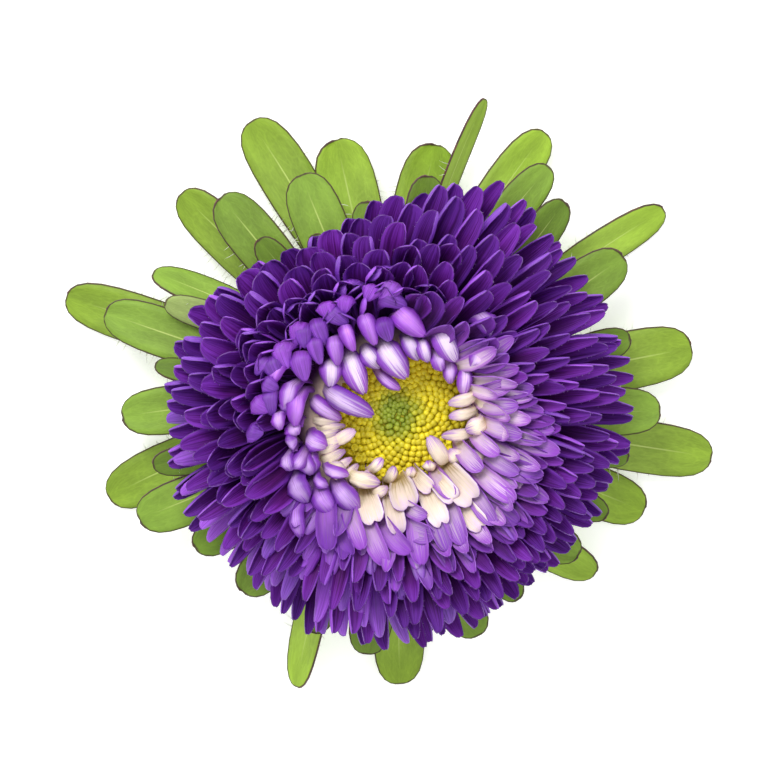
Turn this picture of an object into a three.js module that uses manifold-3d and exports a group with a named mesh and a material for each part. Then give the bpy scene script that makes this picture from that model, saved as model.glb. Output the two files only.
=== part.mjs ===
// A picked China aster head, lying on its back: a cut stem under the receptacle, three whorls
// of bracts, seven rows of violet ray florets, three rows of lilac and cream ones, and a disc.
// Millimetres, +Z up. The origin is on the head's own axis, on the surface that it lies on.
import * as THREE from 'three';
import { mergeVertices } from 'three/addons/utils/BufferGeometryUtils.js';
import Module from 'manifold-3d';

const wasm = await Module();
wasm.setup();

// Driving dimensions
const HEAD_RADIUS = 37.4; // axis to the tips of the widest ray florets
const HEAD_TOP = 34; // surface to the crest of the ray florets
const DISC_RADIUS = 10;
const DISC_TOP = 21.2; // surface to the middle of the disc, under its florets
const DISC_RIM = 17.8; // surface to the edge of the disc, under its florets
const BUD_RADIUS = 2.9; // of the green middle of the disc
const RECEPTACLE_RADIUS = 17.2;
const RECEPTACLE_TOP = 15;
const STEM_RADIUS = 2.3;
const STEM_END = 1; // the cut end hangs just clear of the surface
const GAP = 0.3; // gap between neighbouring solids
const LEAN = 4.2; // how far the middle of the crest is carried over
const LEAN_AZIMUTH = -45;
const SEED = 20;

const SEAT_HEIGHT = RECEPTACLE_TOP + GAP;
const FULL_TURN = 2 * Math.PI;
const rad = THREE.MathUtils.degToRad;

// A small seeded generator: the same draws on every run.
function drawsFrom(seed) {
  let state = seed;
  return () => {
    state = (1664525 * state + 1013904223) % 4294967296;
    return state / 4294967296;
  };
}

const spread = (draw, amount) => (2 * draw() - 1) * amount;

// A point at a radius and height in the upright plane of an azimuth.
function polar(azimuth, radius, height) {
  return new THREE.Vector3(radius * Math.cos(azimuth), radius * Math.sin(azimuth), height);
}

// Solids
function solidOf(geometry) {
  const bare = geometry.clone();
  bare.deleteAttribute('normal');
  bare.deleteAttribute('uv');
  const merged = mergeVertices(bare, 1e-4);
  return new wasm.Manifold(new wasm.Mesh({
    numProp: 3,
    vertProperties: new Float32Array(merged.attributes.position.array),
    triVerts: new Uint32Array(merged.index.array),
  }));
}

function geometryOf(solid) {
  const mesh = solid.getMesh();
  const position = new Float32Array(mesh.numVert * 3);
  for (let i = 0; i < mesh.numVert; i++) {
    position.set(mesh.vertProperties.subarray(i * mesh.numProp, i * mesh.numProp + 3), i * 3);
  }
  return new THREE.BufferGeometry()
    .setAttribute('position', new THREE.BufferAttribute(position, 3))
    .setIndex(new THREE.BufferAttribute(mesh.triVerts, 1));
}

// A closed solid from points and triangles, whichever way round the triangles run.
function closedSolid(points, faces) {
  const geometry = new THREE.BufferGeometry().setFromPoints(points).setIndex(faces.flat());
  const solid = solidOf(geometry);
  if (solid.volume() > 0) return solid;
  return solidOf(geometry.setIndex(faces.map(([a, b, c]) => [a, c, b]).flat()));
}

const fused = (solids) => wasm.Manifold.union(solids);

// A solid of revolution about +Z from [radius, height] pairs.
function turned(profile, sides) {
  const points = profile.map(([r, z]) => new THREE.Vector2(r, z));
  const geometry = new THREE.LatheGeometry(points, sides).rotateX(Math.PI / 2);
  const solid = solidOf(geometry);
  return solid.volume() > 0 ? solid : solidOf(geometry.scale(1, -1, 1));
}

// A section of a boat-shaped blade: left edge, crest, right edge and keel. The edges are raised
// by cup towards the upper face.
function bladeSection(spine, at, across, { half, cup, thick }) {
  const centre = spine.getPoint(at);
  const up = new THREE.Vector3().crossVectors(spine.getTangent(at), across).normalize();
  const put = (side, lift) => (
    centre.clone().addScaledVector(across, side).addScaledVector(up, lift)
  );
  return [put(-half, cup), put(0, thick / 2), put(half, cup), put(0, -thick / 2)];
}

// The faces between two sections. Both faces of the blade are split along the same diagonals.
function bladeWalls(from, to) {
  return [0, 1, 2, 3].flatMap((k) => {
    const [a, b, p, q] = [from[k], from[(k + 1) % 4], to[k], to[(k + 1) % 4]];
    return k % 2 === 0 ? [[a, b, p], [b, q, p]] : [[a, b, q], [a, q, p]];
  });
}

// The faces from the last section to the tip.
const bladeTip = (from, tip) => [0, 1, 2, 3].map((k) => [from[k], from[(k + 1) % 4], tip]);

// Stem and receptacle
const RECEPTACLE_CONE = [
  [3.4, 5.8],
  [7.4, 7.6],
  [11.4, 10],
  [15.2, 12.6],
];

function stemAndReceptacle() {
  return turned([
    [0, STEM_END],
    [STEM_RADIUS, STEM_END],
    [STEM_RADIUS, 4.6],
    ...RECEPTACLE_CONE,
    [RECEPTACLE_RADIUS, 14.2],
    [RECEPTACLE_RADIUS, RECEPTACLE_TOP],
    [0, RECEPTACLE_TOP],
  ], 24);
}

// Bracts. Each has the azimuth and the reach of its tip from the axis, its width, the height of
// its tip above the surface, and its roll about its own length. A whorl gives the upright
// profile of the ring that it grows from, and how its bracts leave that ring. A whorl with an
// arch keeps its bracts up until near their tips, and one without comes down to them early.
const BRACT_WHORLS = {
  bracts_lower: {
    color: 0x8fb54c,
    ring: [[3.7, 5.5], [7.5, 7.25], [8, 6.3], [4.2, 4.5]],
    root: [6.6, 6.1],
    shoulder: [15, 6.4],
    bracts: [
      { azimuth: 162, reach: 56, width: 8.4, tip: 0.3, roll: 0 },
      { azimuth: 135, reach: 48.7, width: 8, tip: 3.4, roll: -8 },
      { azimuth: 117, reach: 51.2, width: 8.8, tip: 0.3, roll: 4 },
      { azimuth: 101, reach: 44, width: 9.8, tip: 3.4, roll: 0 },
      { azimuth: 82, reach: 42.3, width: 8.8, tip: 1.6, roll: 6 },
      { azimuth: 74, reach: 51.6, width: 4.4, tip: 5.4, roll: 66 },
      { azimuth: 61, reach: 50.1, width: 7.4, tip: 2.4, roll: 0 },
      { azimuth: 35, reach: 53.7, width: 6.8, tip: 0.3, roll: 10 },
      { azimuth: 10, reach: 49.2, width: 9.8, tip: 3.8, roll: -6 },
      { azimuth: -10, reach: 53.3, width: 8.8, tip: 2, roll: 4 },
      { azimuth: -23, reach: 45, width: 8.2, tip: 0.3, roll: 0 },
      { azimuth: -41, reach: 44.4, width: 8, tip: 3.2, roll: 28 },
      { azimuth: -89, reach: 48.5, width: 8.8, tip: 0.3, roll: 0 },
      { azimuth: -109, reach: 50.4, width: 6.4, tip: 4.4, roll: 56 },
      { azimuth: -161, reach: 49.6, width: 8.8, tip: 0.3, roll: -4 },
    ],
  },
  bracts_middle: {
    color: 0x6f9a3e,
    ring: [[8.7, 8.05], [11.6, 9.8], [12.2, 8.9], [9.2, 7.1]],
    root: [10.9, 8.6],
    shoulder: [18, 10],
    arch: 11,
    bracts: [
      { azimuth: 161, reach: 49.4, width: 8, tip: 8.6, roll: 6 },
      { azimuth: 150, reach: 45, width: 5.4, tip: 8.2, roll: 16 },
      { azimuth: 129, reach: 44.6, width: 8.2, tip: 9.4, roll: 0 },
      { azimuth: 112, reach: 41, width: 8.6, tip: 8.8, roll: -6 },
      { azimuth: 58, reach: 46, width: 6.2, tip: 9.2, roll: 8 },
      { azimuth: 34, reach: 43.8, width: 8.2, tip: 9, roll: 0 },
      { azimuth: -1, reach: 42.6, width: 8, tip: 9.4, roll: -8 },
      { azimuth: -39, reach: 38, width: 7.2, tip: 10, roll: 6 },
      { azimuth: -73, reach: 41.6, width: 8, tip: 9, roll: 0 },
      { azimuth: -97, reach: 41.2, width: 7.4, tip: 9, roll: 4 },
      { azimuth: -130, reach: 39, width: 7.6, tip: 9.8, roll: 0 },
      { azimuth: -157, reach: 45.4, width: 8.6, tip: 8.8, roll: -6 },
      { azimuth: -179, reach: 44.3, width: 8, tip: 9, roll: 6 },
    ],
  },
  bracts_upper: {
    color: 0x557d38,
    ring: [[12.8, 10.55], [15.5, 12.35], [16, 11.65], [13.3, 9.85]],
    root: [14.8, 11.4],
    shoulder: [20, 13.3],
    arch: 13.8,
    bracts: [
      { azimuth: 168, reach: 39.7, width: 4.2, tip: 12.6, roll: 20 },
      { azimuth: 149, reach: 34.4, width: 4.6, tip: 12.8, roll: 0 },
      { azimuth: 128, reach: 36, width: 5.2, tip: 12.8, roll: 0 },
      { azimuth: 115, reach: 32, width: 4.6, tip: 12.8, roll: 8 },
      { azimuth: 99, reach: 34.6, width: 5.6, tip: 12.6, roll: 0 },
      { azimuth: 83, reach: 38.5, width: 6.6, tip: 12.4, roll: 0 },
      { azimuth: 68, reach: 35.4, width: 5, tip: 12.8, roll: -8 },
      { azimuth: 52, reach: 43, width: 6.2, tip: 12.4, roll: 4 },
      { azimuth: 18, reach: 39, width: 5.8, tip: 12.4, roll: 0 },
      { azimuth: -12, reach: 38, width: 5, tip: 12.6, roll: 8 },
      { azimuth: -27, reach: 38, width: 5.2, tip: 12.2, roll: 0 },
      { azimuth: -58, reach: 36.8, width: 5.4, tip: 12.6, roll: -6 },
      { azimuth: -83, reach: 37, width: 5, tip: 12.2, roll: 0 },
      { azimuth: -111, reach: 38.7, width: 5.4, tip: 12.6, roll: 4 },
      { azimuth: -146, reach: 39.5, width: 6.8, tip: 12, roll: 0 },
      { azimuth: -168, reach: 40.3, width: 5.4, tip: 12.2, roll: -8 },
    ],
  },
};

const BRACT_STATIONS = [
  { at: 0, share: 0.3 },
  { at: 0.3, share: 0.44 },
  { at: 0.55, share: 0.78 },
  { at: 0.76, share: 1 },
  { at: 0.92, share: 0.8 },
  { at: 0.98, share: 0.44 },
];
const BRACT_THICK = 0.8;
const BRACT_CUP = 0.7;

function bract({ root, shoulder, arch }, { azimuth, reach, width, tip, roll }) {
  const turn = rad(azimuth);
  const spine = new THREE.CubicBezierCurve3(
    polar(turn, ...root),
    polar(turn, ...shoulder),
    polar(turn, 0.64 * reach, arch ?? tip),
    polar(turn, reach, tip),
  );
  const ends = spine.getPoint(1).sub(spine.getPoint(0)).normalize();
  const points = [];
  const faces = [[1, 0, 3], [1, 3, 2]];
  BRACT_STATIONS.forEach(({ at, share }, s) => {
    // The roll comes in along the length, so that every bract leaves its ring level.
    const across = new THREE.Vector3(-Math.sin(turn), Math.cos(turn), 0);
    across.applyAxisAngle(ends, rad(roll * Math.min(1, 2 * at)));
    const form = { half: share * width / 2, cup: BRACT_CUP * share, thick: BRACT_THICK };
    points.push(...bladeSection(spine, at, across, form));
    const first = 4 * s;
    const corners = [first, first + 1, first + 2, first + 3];
    if (s > 0) faces.push(...bladeWalls(corners.map((c) => c - 4), corners));
  });
  const tipPoint = points.length;
  faces.push(...bladeTip([1, 2, 3, 4].map((back) => tipPoint - 5 + back), tipPoint));
  points.push(spine.getPoint(1));
  // What would sink into the surface lies flat on it.
  for (const point of points) point.z = Math.max(0, point.z);
  return closedSolid(points, faces);
}

function bractWhorl(whorl) {
  const ring = turned([...whorl.ring, whorl.ring[0]], 24);
  return fused([ring, ...whorl.bracts.map((one) => bract(whorl, one))]);
}

// Ray florets. A group holds rows of the same count, each row half a step round from the next.
// A row gives the root, the bend and the tip of a floret's spine as [radius, height], and the
// blade's widest width. Room is left from the first and last rows to the group's own walls.
const RAY_GROUPS = {
  violet_ray_florets_lower: {
    color: 0x3a1669,
    count: 40,
    seat: [16, 17],
    room: 1.2,
    rows: [
      { root: [16.4, 16.2], bend: [25.4, 17.4], tip: [HEAD_RADIUS, 16.2], width: 4.1 },
      { root: [16.2, 17.2], bend: [24.6, 21], tip: [37, 20.4], width: 4.1 },
      { root: [16, 18.2], bend: [23.4, 24.6], tip: [35, 24.7], width: 4.1 },
    ],
  },
  violet_ray_florets_middle: {
    color: 0x481d86,
    count: 36,
    seat: [14.6, 15.7],
    room: 1,
    rows: [
      { root: [15, 19.4], bend: [21, 27.6], tip: [32.4, 28.3], width: 3.8 },
      { root: [14.7, 20], bend: [18.9, 29.4], tip: [29.1, 30.9], width: 3.7, cup: 0.7 },
    ],
  },
  violet_ray_florets_crest: {
    color: 0x5a2a9c,
    count: 30,
    seat: [13.4, 14.3],
    room: 0.9,
    rows: [
      { root: [14, 20.4], bend: [16.8, 30.6], tip: [25.4, 33], width: 3.4, cup: 0.8 },
      { root: [13.6, 21], bend: [15.1, 30.4], tip: [22, 33.4], width: 3.3, cup: 0.7 },
    ],
  },
  lilac_ray_florets: {
    color: 0x9b6cc4,
    count: 22,
    seat: [12.2, 13.1],
    room: 0.6,
    rows: [
      { root: [12.8, 20.6], bend: [12.9, 30.5], tip: [17.8, HEAD_TOP], width: 2.5, cup: 0.7 },
      { root: [12.4, 20.6], bend: [11.8, 28.8], tip: [14.7, 32.7], width: 2.5, cup: 0.6 },
    ],
  },
  cream_ray_florets: {
    color: 0xe6dcae,
    count: 20,
    seat: [DISC_RADIUS + 3 * GAP, 11.9],
    room: 0.4,
    rows: [
      { root: [11.4, 20.2], bend: [10.3, 25.6], tip: [10.6, 29.2], width: 2.3, cup: 0.5 },
    ],
  },
};

// A blade parts from its neighbours at FREE_FROM along its spine.
const FREE_FROM = 0.34;
const RAY_STATIONS = [
  { at: 0.6, share: 0.88 },
  { at: 0.8, share: 1 },
  { at: 0.94, share: 0.62 },
];
const RAY_THICK = 0.8;
const RAY_CUP = 0.9;
const SWAY = 0.07; // a tip's sway, in steps to its neighbour
const ROLL = 5; // degrees
const LEAN_FROM = 18; // heights
const LEAN_FULL = 28;
const LEAN_FADES_OUT = 40; // radius

// The head isn't even: its crest leans to one side, and its rim doesn't.
function leaned(point) {
  const rise = THREE.MathUtils.clamp((point.z - LEAN_FROM) / (LEAN_FULL - LEAN_FROM), 0, 1);
  const inward = Math.max(0, 1 - Math.hypot(point.x, point.y) / LEAN_FADES_OUT);
  return point.addScaledVector(polar(rad(LEAN_AZIMUTH), LEAN, 0), rise * rise * inward);
}

// The free end of one floret, from its first section to its tip.
function freeEnd(row, stations, azimuth, step, draw) {
  const { width, thick = RAY_THICK, cup = RAY_CUP } = row;
  const length = Math.hypot(row.tip[0] - row.root[0], row.tip[1] - row.root[1]);
  const turn = azimuth + spread(draw, SWAY) * step;
  const reach = row.tip[0] + spread(draw, 0.045) * length;
  const height = row.tip[1] + spread(draw, 0.025) * length;
  const roll = rad(spread(draw, ROLL));
  const root = polar(azimuth, ...row.root);
  const bend = polar(turn, ...row.bend);
  const tip = polar(turn, reach, height);
  const spine = new THREE.QuadraticBezierCurve3(root, bend, tip);
  const across = new THREE.Vector3(-Math.sin(turn), Math.cos(turn), 0);
  across.applyAxisAngle(tip.clone().sub(bend).normalize(), roll);
  const sections = stations.flatMap(({ at, share }) => (
    bladeSection(spine, at, across, { half: share * width / 2, cup: cup * share, thick })
  ));
  const tipUp = new THREE.Vector3().crossVectors(spine.getTangent(1), across).normalize();
  return [...sections, tip.addScaledVector(tipUp, cup * 0.6)];
}

// The rings of the lattice that a group's florets part from: one through each row, one before
// the first row and one after the last.
function latticeRings({ rows, room }) {
  const through = rows.map(({ root, bend, tip }) => {
    const [a, b, c] = [root, bend, tip].map(([r, z]) => new THREE.Vector2(r, z));
    const curve = new THREE.QuadraticBezierCurve(a, b, c);
    return { point: curve.getPoint(FREE_FROM), along: curve.getTangent(FREE_FROM) };
  });
  const beside = ({ point, along }, distance) => (
    new THREE.Vector2(point.x - distance * along.y, point.y + distance * along.x)
  );
  return [
    beside(through[0], -room),
    ...through.map(({ point }) => point),
    beside(through.at(-1), room),
  ];
}

// Ring k of the lattice is half a step round from ring k - 1, so that four neighbours bound the
// diamond that one floret grows from. Below the lattice the packed tubes close the group down
// to its seat on the receptacle.
function floretGroup({ count, seat, room, rows, stations = RAY_STATIONS, bent = leaned }, seed) {
  const draw = drawsFrom(seed);
  const step = FULL_TURN / count;
  const points = [];
  const faces = [];
  const rings = latticeRings({ rows, room });
  rings.forEach(({ x, y }, k) => {
    for (let i = 0; i < count; i++) points.push(polar((i + k / 2) * step, x, y));
  });
  const onRing = (k, i) => k * count + (((i % count) + count) % count);
  rows.forEach((row, k) => {
    for (let i = 0; i < count; i++) {
      const first = points.length;
      points.push(...freeEnd(row, stations, (i + k / 2) * step, step, draw));
      const diamond = [onRing(k + 1, i - 1), onRing(k + 2, i - 1), onRing(k + 1, i), onRing(k, i)];
      const sections = stations.map((_, s) => [0, 1, 2, 3].map((c) => first + 4 * s + c));
      [diamond, ...sections.slice(0, -1)].forEach((from, s) => {
        faces.push(...bladeWalls(from, sections[s]));
      });
      faces.push(...bladeTip(sections.at(-1), points.length - 1));
    }
  });
  const seatRing = (radius) => {
    const first = points.length;
    for (let i = 0; i < count; i++) points.push(polar(i * step, radius, SEAT_HEIGHT));
    return (i) => first + (i % count);
  };
  const innerSeat = seatRing(seat[0]);
  const outerSeat = seatRing(seat[1]);
  // The last two rings have come round by whole steps on one of them and by a half on the other.
  const last = rings.length - 1;
  const wholeSteps = Math.floor(last / 2);
  const [onStep, offStep] = last % 2 === 0 ? [last, last - 1] : [last - 1, last];
  const offShift = last % 2 === 0 ? 1 - wholeSteps : -wholeSteps;
  for (let i = 0; i < count; i++) {
    faces.push(...wallStep((n) => onRing(0, n), (n) => onRing(1, n), outerSeat, i));
    const inner = wallStep(
      (n) => onRing(onStep, n - wholeSteps),
      (n) => onRing(offStep, n + offShift),
      innerSeat,
      i,
    );
    faces.push(...inner.map(([a, b, c]) => [a, c, b]));
    faces.push([outerSeat(i), outerSeat(i + 1), innerSeat(i + 1)]);
    faces.push([outerSeat(i), innerSeat(i + 1), innerSeat(i)]);
  }
  return closedSolid(points.map(bent), faces);
}

// One step of a wall, from a seat up to the zigzag between two rings.
function wallStep(onStep, onHalfStep, seat, i) {
  return [
    [onStep(i), onHalfStep(i), seat(i + 1)],
    [onHalfStep(i), onStep(i + 1), seat(i + 1)],
    [onStep(i), seat(i + 1), seat(i)],
  ];
}

// Disc: rows of small closed florets over a low dome, larger than life. The middle ones are
// still green buds. The florets of a row are as wide as their share of the row.
const DISC_COUNT = 28;
const DISC_ROW_RADII = [8.9, 7.3, 5.95, 4.83, 3.9];
const BUD_COUNT = 10;
const BUD_ROW_RADII = [2.2, 1.15];
const TUBE_STATIONS = [{ at: 0.7, share: 1 }];
const TUBE_HEIGHT = 1.1; // over width
const TUBE_FILL = 0.74; // of a floret's share of its row

function tubeRows(count, radii) {
  return radii.map((radius) => {
    const width = TUBE_FILL * FULL_TURN * radius / count;
    const base = DISC_TOP - (DISC_TOP - DISC_RIM) * (radius / DISC_RADIUS) ** 2;
    return {
      root: [radius, base],
      bend: [radius, base + 0.5 * width * TUBE_HEIGHT],
      tip: [radius * 1.02, base + width * TUBE_HEIGHT],
      width,
      thick: width,
      cup: 0,
    };
  });
}

function discFlorets() {
  return floretGroup({
    count: DISC_COUNT,
    seat: [BUD_RADIUS + GAP, DISC_RADIUS],
    room: 0.5,
    rows: tubeRows(DISC_COUNT, DISC_ROW_RADII),
    stations: TUBE_STATIONS,
    bent: (point) => point,
  }, SEED + 10);
}

function discBuds() {
  const middle = turned([
    [0, SEAT_HEIGHT],
    [0.7, SEAT_HEIGHT],
    [0.7, DISC_TOP],
    [0, DISC_TOP + 0.7],
  ], BUD_COUNT);
  return fused([middle, floretGroup({
    count: BUD_COUNT,
    seat: [0.5, BUD_RADIUS],
    room: 0.4,
    rows: tubeRows(BUD_COUNT, BUD_ROW_RADII),
    stations: TUBE_STATIONS,
    bent: (point) => point,
  }, SEED + 11)]);
}

// Assembly
const solids = [['stem_and_receptacle', 0x86a350, stemAndReceptacle()]];
for (const [name, whorl] of Object.entries(BRACT_WHORLS)) {
  solids.push([name, whorl.color, bractWhorl(whorl)]);
}
Object.entries(RAY_GROUPS).forEach(([name, rays], k) => {
  solids.push([name, rays.color, floretGroup(rays, SEED + k)]);
});
solids.push(['disc_florets', 0xd9c926, discFlorets()], ['disc_buds', 0x9fae3c, discBuds()]);
const group = new THREE.Group();
for (const [name, color, solid] of solids) {
  const material = new THREE.MeshStandardMaterial({ color, roughness: 0.6, metalness: 0 });
  const mesh = new THREE.Mesh(geometryOf(solid), material);
  mesh.name = name;
  group.add(mesh);
}

export default group;
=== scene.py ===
"""A picked China aster head on a pale surface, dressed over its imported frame."""

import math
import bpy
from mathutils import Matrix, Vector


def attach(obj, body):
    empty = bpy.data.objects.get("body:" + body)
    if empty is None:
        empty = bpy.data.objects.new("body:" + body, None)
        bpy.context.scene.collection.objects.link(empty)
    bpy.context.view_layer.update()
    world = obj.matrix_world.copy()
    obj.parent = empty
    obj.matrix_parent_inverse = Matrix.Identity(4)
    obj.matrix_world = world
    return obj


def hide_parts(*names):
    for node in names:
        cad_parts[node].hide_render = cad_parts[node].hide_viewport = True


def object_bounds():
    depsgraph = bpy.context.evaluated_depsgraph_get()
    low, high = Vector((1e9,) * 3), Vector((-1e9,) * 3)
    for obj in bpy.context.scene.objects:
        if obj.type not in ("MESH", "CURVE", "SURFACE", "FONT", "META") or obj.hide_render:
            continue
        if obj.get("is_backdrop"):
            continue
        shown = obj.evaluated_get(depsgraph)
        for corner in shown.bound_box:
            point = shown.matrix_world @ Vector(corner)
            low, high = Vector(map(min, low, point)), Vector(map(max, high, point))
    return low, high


bl_info = {
    "name": "China Aster Head",
    "version": (1, 0, 0),
    "blender": (4, 5, 0),
    "location": "View3D > Sidebar > Aster",
    "description": "Models the petals, bracts, disc and stem of a China aster head",
    "category": "Add Mesh",
}

import bmesh
import bpy
import numpy as np
from bpy.props import FloatProperty, FloatVectorProperty, IntProperty, PointerProperty
from mathutils import Matrix, Vector

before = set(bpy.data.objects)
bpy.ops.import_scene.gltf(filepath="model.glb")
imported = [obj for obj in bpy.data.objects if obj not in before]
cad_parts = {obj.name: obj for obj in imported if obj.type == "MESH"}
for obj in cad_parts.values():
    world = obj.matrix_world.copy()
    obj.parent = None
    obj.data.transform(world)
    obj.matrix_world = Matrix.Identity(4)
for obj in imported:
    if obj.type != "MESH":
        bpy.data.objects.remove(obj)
FRAME_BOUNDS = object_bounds()

MM = 0.001
FULL_TURN = 2 * math.pi

# The head, in millimetres, as the frame has it
SEED = 20
LEAN = 4.2
LEAN_AZIMUTH = -45
LEAN_FROM = 18
LEAN_FULL = 28
LEAN_FADES_OUT = 40
HEAD_RADIUS = 37.4
SEAT = 15.3
DISC_RADIUS = 10
DISC_TOP = 21.2
DISC_RIM = 17.8


# Small helpers

def draws_from(seed):
    """A seeded generator, the same one that places the florets of the frame."""
    state = seed
    while True:
        state = (1664525 * state + 1013904223) % 4294967296
        yield state / 4294967296


def spread(draw, amount):
    return (2 * next(draw) - 1) * amount


def polar(azimuth, radius, height):
    return np.array([radius * math.cos(azimuth), radius * math.sin(azimuth), height])


def smooth(x, low, high):
    t = np.clip((x - low) / (high - low), 0, 1)
    return t * t * (3 - 2 * t)


def unit(vectors):
    return vectors / np.linalg.norm(vectors, axis=-1, keepdims=True)


def leaned(points):
    """Carries points over with the head's lean, as the frame's florets are."""
    rise = np.clip((points[:, 2] - LEAN_FROM) / (LEAN_FULL - LEAN_FROM), 0, 1)
    inward = np.maximum(0, 1 - np.hypot(points[:, 0], points[:, 1]) / LEAN_FADES_OUT)
    return points + np.outer(rise * rise * inward, polar(math.radians(LEAN_AZIMUTH), LEAN, 0))


def linear(red, green, blue):
    """A colour from its usual 0 to 255 values."""
    def channel(value):
        value /= 255
        return value / 12.92 if value <= 0.04045 else ((value + 0.055) / 1.055) ** 2.4
    return (channel(red), channel(green), channel(blue), 1)


def deselect():
    if bpy.context.mode != "OBJECT":
        bpy.ops.object.mode_set(mode="OBJECT")
    bpy.ops.object.select_all(action="DESELECT")


def select_only(piece):
    deselect()
    piece.select_set(True)
    bpy.context.view_layer.objects.active = piece


def shade_smooth(piece):
    select_only(piece)
    bpy.ops.object.shade_smooth()


def dress(piece, slot, *nodes):
    """Puts a finished piece on the head, in place of the frame's nodes that it stands for."""
    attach(piece, "root")
    if nodes:
        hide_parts(*nodes)


# Shapes modelled once. Their corners are read into plain arrays, to be copied.

POINT_RADIUS = 1e-3 # a ring this narrow is closed to a point
NEAR = 1e-3 # how near to a row or a line of a blade its corners are


def turned_piece(name, profile, sides):
    """A round piece, drawn up ring by ring along [radius, height] pairs in millimetres."""
    deselect()
    (radius, height), *others = profile
    bpy.ops.mesh.primitive_circle_add(
        vertices=sides, radius=radius * MM, location=(0, 0, height * MM), fill_type="NGON")
    piece = bpy.context.object
    piece.name = piece.data.name = name
    bpy.ops.object.transform_apply(location=True)
    bpy.ops.object.mode_set(mode="EDIT")
    bpy.ops.mesh.select_all(action="SELECT")
    for next_radius, next_height in others:
        bpy.ops.mesh.extrude_region_move(
            TRANSFORM_OT_translate={"value": (0, 0, (next_height - height) * MM)})
        share = max(next_radius, POINT_RADIUS) / radius
        bpy.ops.transform.resize(value=(share, share, 1), center_override=(0, 0, 0))
        radius, height = max(next_radius, POINT_RADIUS), next_height
    if radius <= POINT_RADIUS:
        bpy.ops.mesh.merge(type="CENTER")
    bpy.ops.mesh.select_all(action="SELECT")
    bpy.ops.mesh.normals_make_consistent(inside=False)
    bpy.ops.object.mode_set(mode="OBJECT")
    return piece


def taken_apart(piece):
    """The corners in millimetres and the faces of a piece, which is then removed."""
    corners = np.array([vertex.co[:] for vertex in piece.data.vertices]) / MM
    faces = [tuple(polygon.vertices) for polygon in piece.data.polygons]
    bpy.data.objects.remove(piece)
    return corners, faces


class FlatBlade:
    """A flat blade, 1 long and 1 wide: the places of its corners, its widths and its faces. Its
    end has a notch of a given depth."""

    def __init__(self, rows, columns, notch=0.0):
        deselect()
        bpy.ops.mesh.primitive_grid_add(
            x_subdivisions=columns, y_subdivisions=len(rows) - 1, size=1, location=(0, 0, 0))
        blade = bpy.context.object
        bpy.ops.object.mode_set(mode="EDIT")
        bpy.ops.mesh.select_mode(type="VERT")
        step = 1 / (len(rows) - 1)
        for index in reversed(range(len(rows))):
            # The rows are moved from the last to the first, so that none passes another.
            self.shape_row(blade, index * step - 0.5, rows[index])
        bpy.ops.object.mode_set(mode="OBJECT")
        corners, faces = taken_apart(blade)
        # Wound the other way, so that a laid blade's faces look out of its upper side.
        self.faces = [face[::-1] for face in faces]
        corners *= MM
        self.along = corners[:, 1] - 1
        self.share = np.interp(self.along, [at for at, _ in rows], [share for _, share in rows])
        self.side = 2 * corners[:, 0] / self.share
        self.map = np.stack([(self.side + 1) / 2, self.along], axis=1)
        dip = np.clip(1 - 2.6 * np.abs(self.side), 0, 1) + 0.6 * self.side**4
        self.along = self.along - notch * smooth(self.along, 0.9, 1) * dip

    @staticmethod
    def shape_row(blade, place, row):
        at, share = row
        cage = bmesh.from_edit_mesh(blade.data)
        for vertex in cage.verts:
            vertex.select_set(abs(vertex.co.y - place) < NEAR)
        cage.select_flush(True)
        bmesh.update_edit_mesh(blade.data)
        bpy.ops.transform.resize(value=(share, 1, 1), center_override=(0, place, 0))
        bpy.ops.transform.translate(value=(0, 1 + at - place, 0))


class RoundShape:
    """A small closed shape for copying, with its height in its map."""

    def __init__(self, profile, sides, flare=None):
        self.corners, self.faces = taken_apart(turned_piece("shape", profile, sides))
        if flare:
            flare(self.corners)
        top = self.corners[:, 2].max()
        self.map = np.stack([np.full(len(self.corners), 0.5), self.corners[:, 2] / top], axis=1)


class Bunch:
    """Many copies of one shape on their way to one mesh, with their map and shades."""

    def __init__(self, shape):
        self.shape = shape
        self.corners = []
        self.shades = []

    def add(self, corners, **shades):
        self.corners.append(corners)
        self.shades.append(shades)

    def piece(self, name, finishes, thickness=None, keep_above=None):
        """finishes are the materials of the upper face, the lower face and the rim."""
        size, count = len(self.shape.map), len(self.corners)
        corners = np.concatenate(self.corners)
        if keep_above is not None:
            corners[:, 2] = np.maximum(corners[:, 2], keep_above)
        faces = [tuple(k * size + c for c in face)
                 for k in range(count) for face in self.shape.faces]
        mesh = bpy.data.meshes.new(name)
        mesh.from_pydata((corners * MM).tolist(), [], faces)
        mesh.update()
        loops = np.zeros(len(mesh.loops), dtype=np.int32)
        mesh.loops.foreach_get("vertex_index", loops)
        mesh.uv_layers.new(name="blade").data.foreach_set(
            "uv", np.tile(self.shape.map, (count, 1))[loops].astype(np.float32).ravel())
        for key in self.shades[0]:
            values = np.concatenate([np.broadcast_to(np.float32(shade[key]), size)
                                     for shade in self.shades])
            mesh.attributes.new(key, "FLOAT", "POINT").data.foreach_set("value", values)
        piece = bpy.data.objects.new(name, mesh)
        bpy.context.collection.objects.link(piece)
        for finish in finishes:
            mesh.materials.append(finish)
        if thickness:
            wall = piece.modifiers.new("Wall", "SOLIDIFY")
            wall.thickness = thickness * MM
            wall.offset = 0
            wall.material_offset = 1
            wall.material_offset_rim = len(finishes) - 1
            select_only(piece)
            bpy.ops.object.modifier_apply(modifier=wall.name)
        shade_smooth(piece)
        return piece


# Blades laid along their spines

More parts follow.
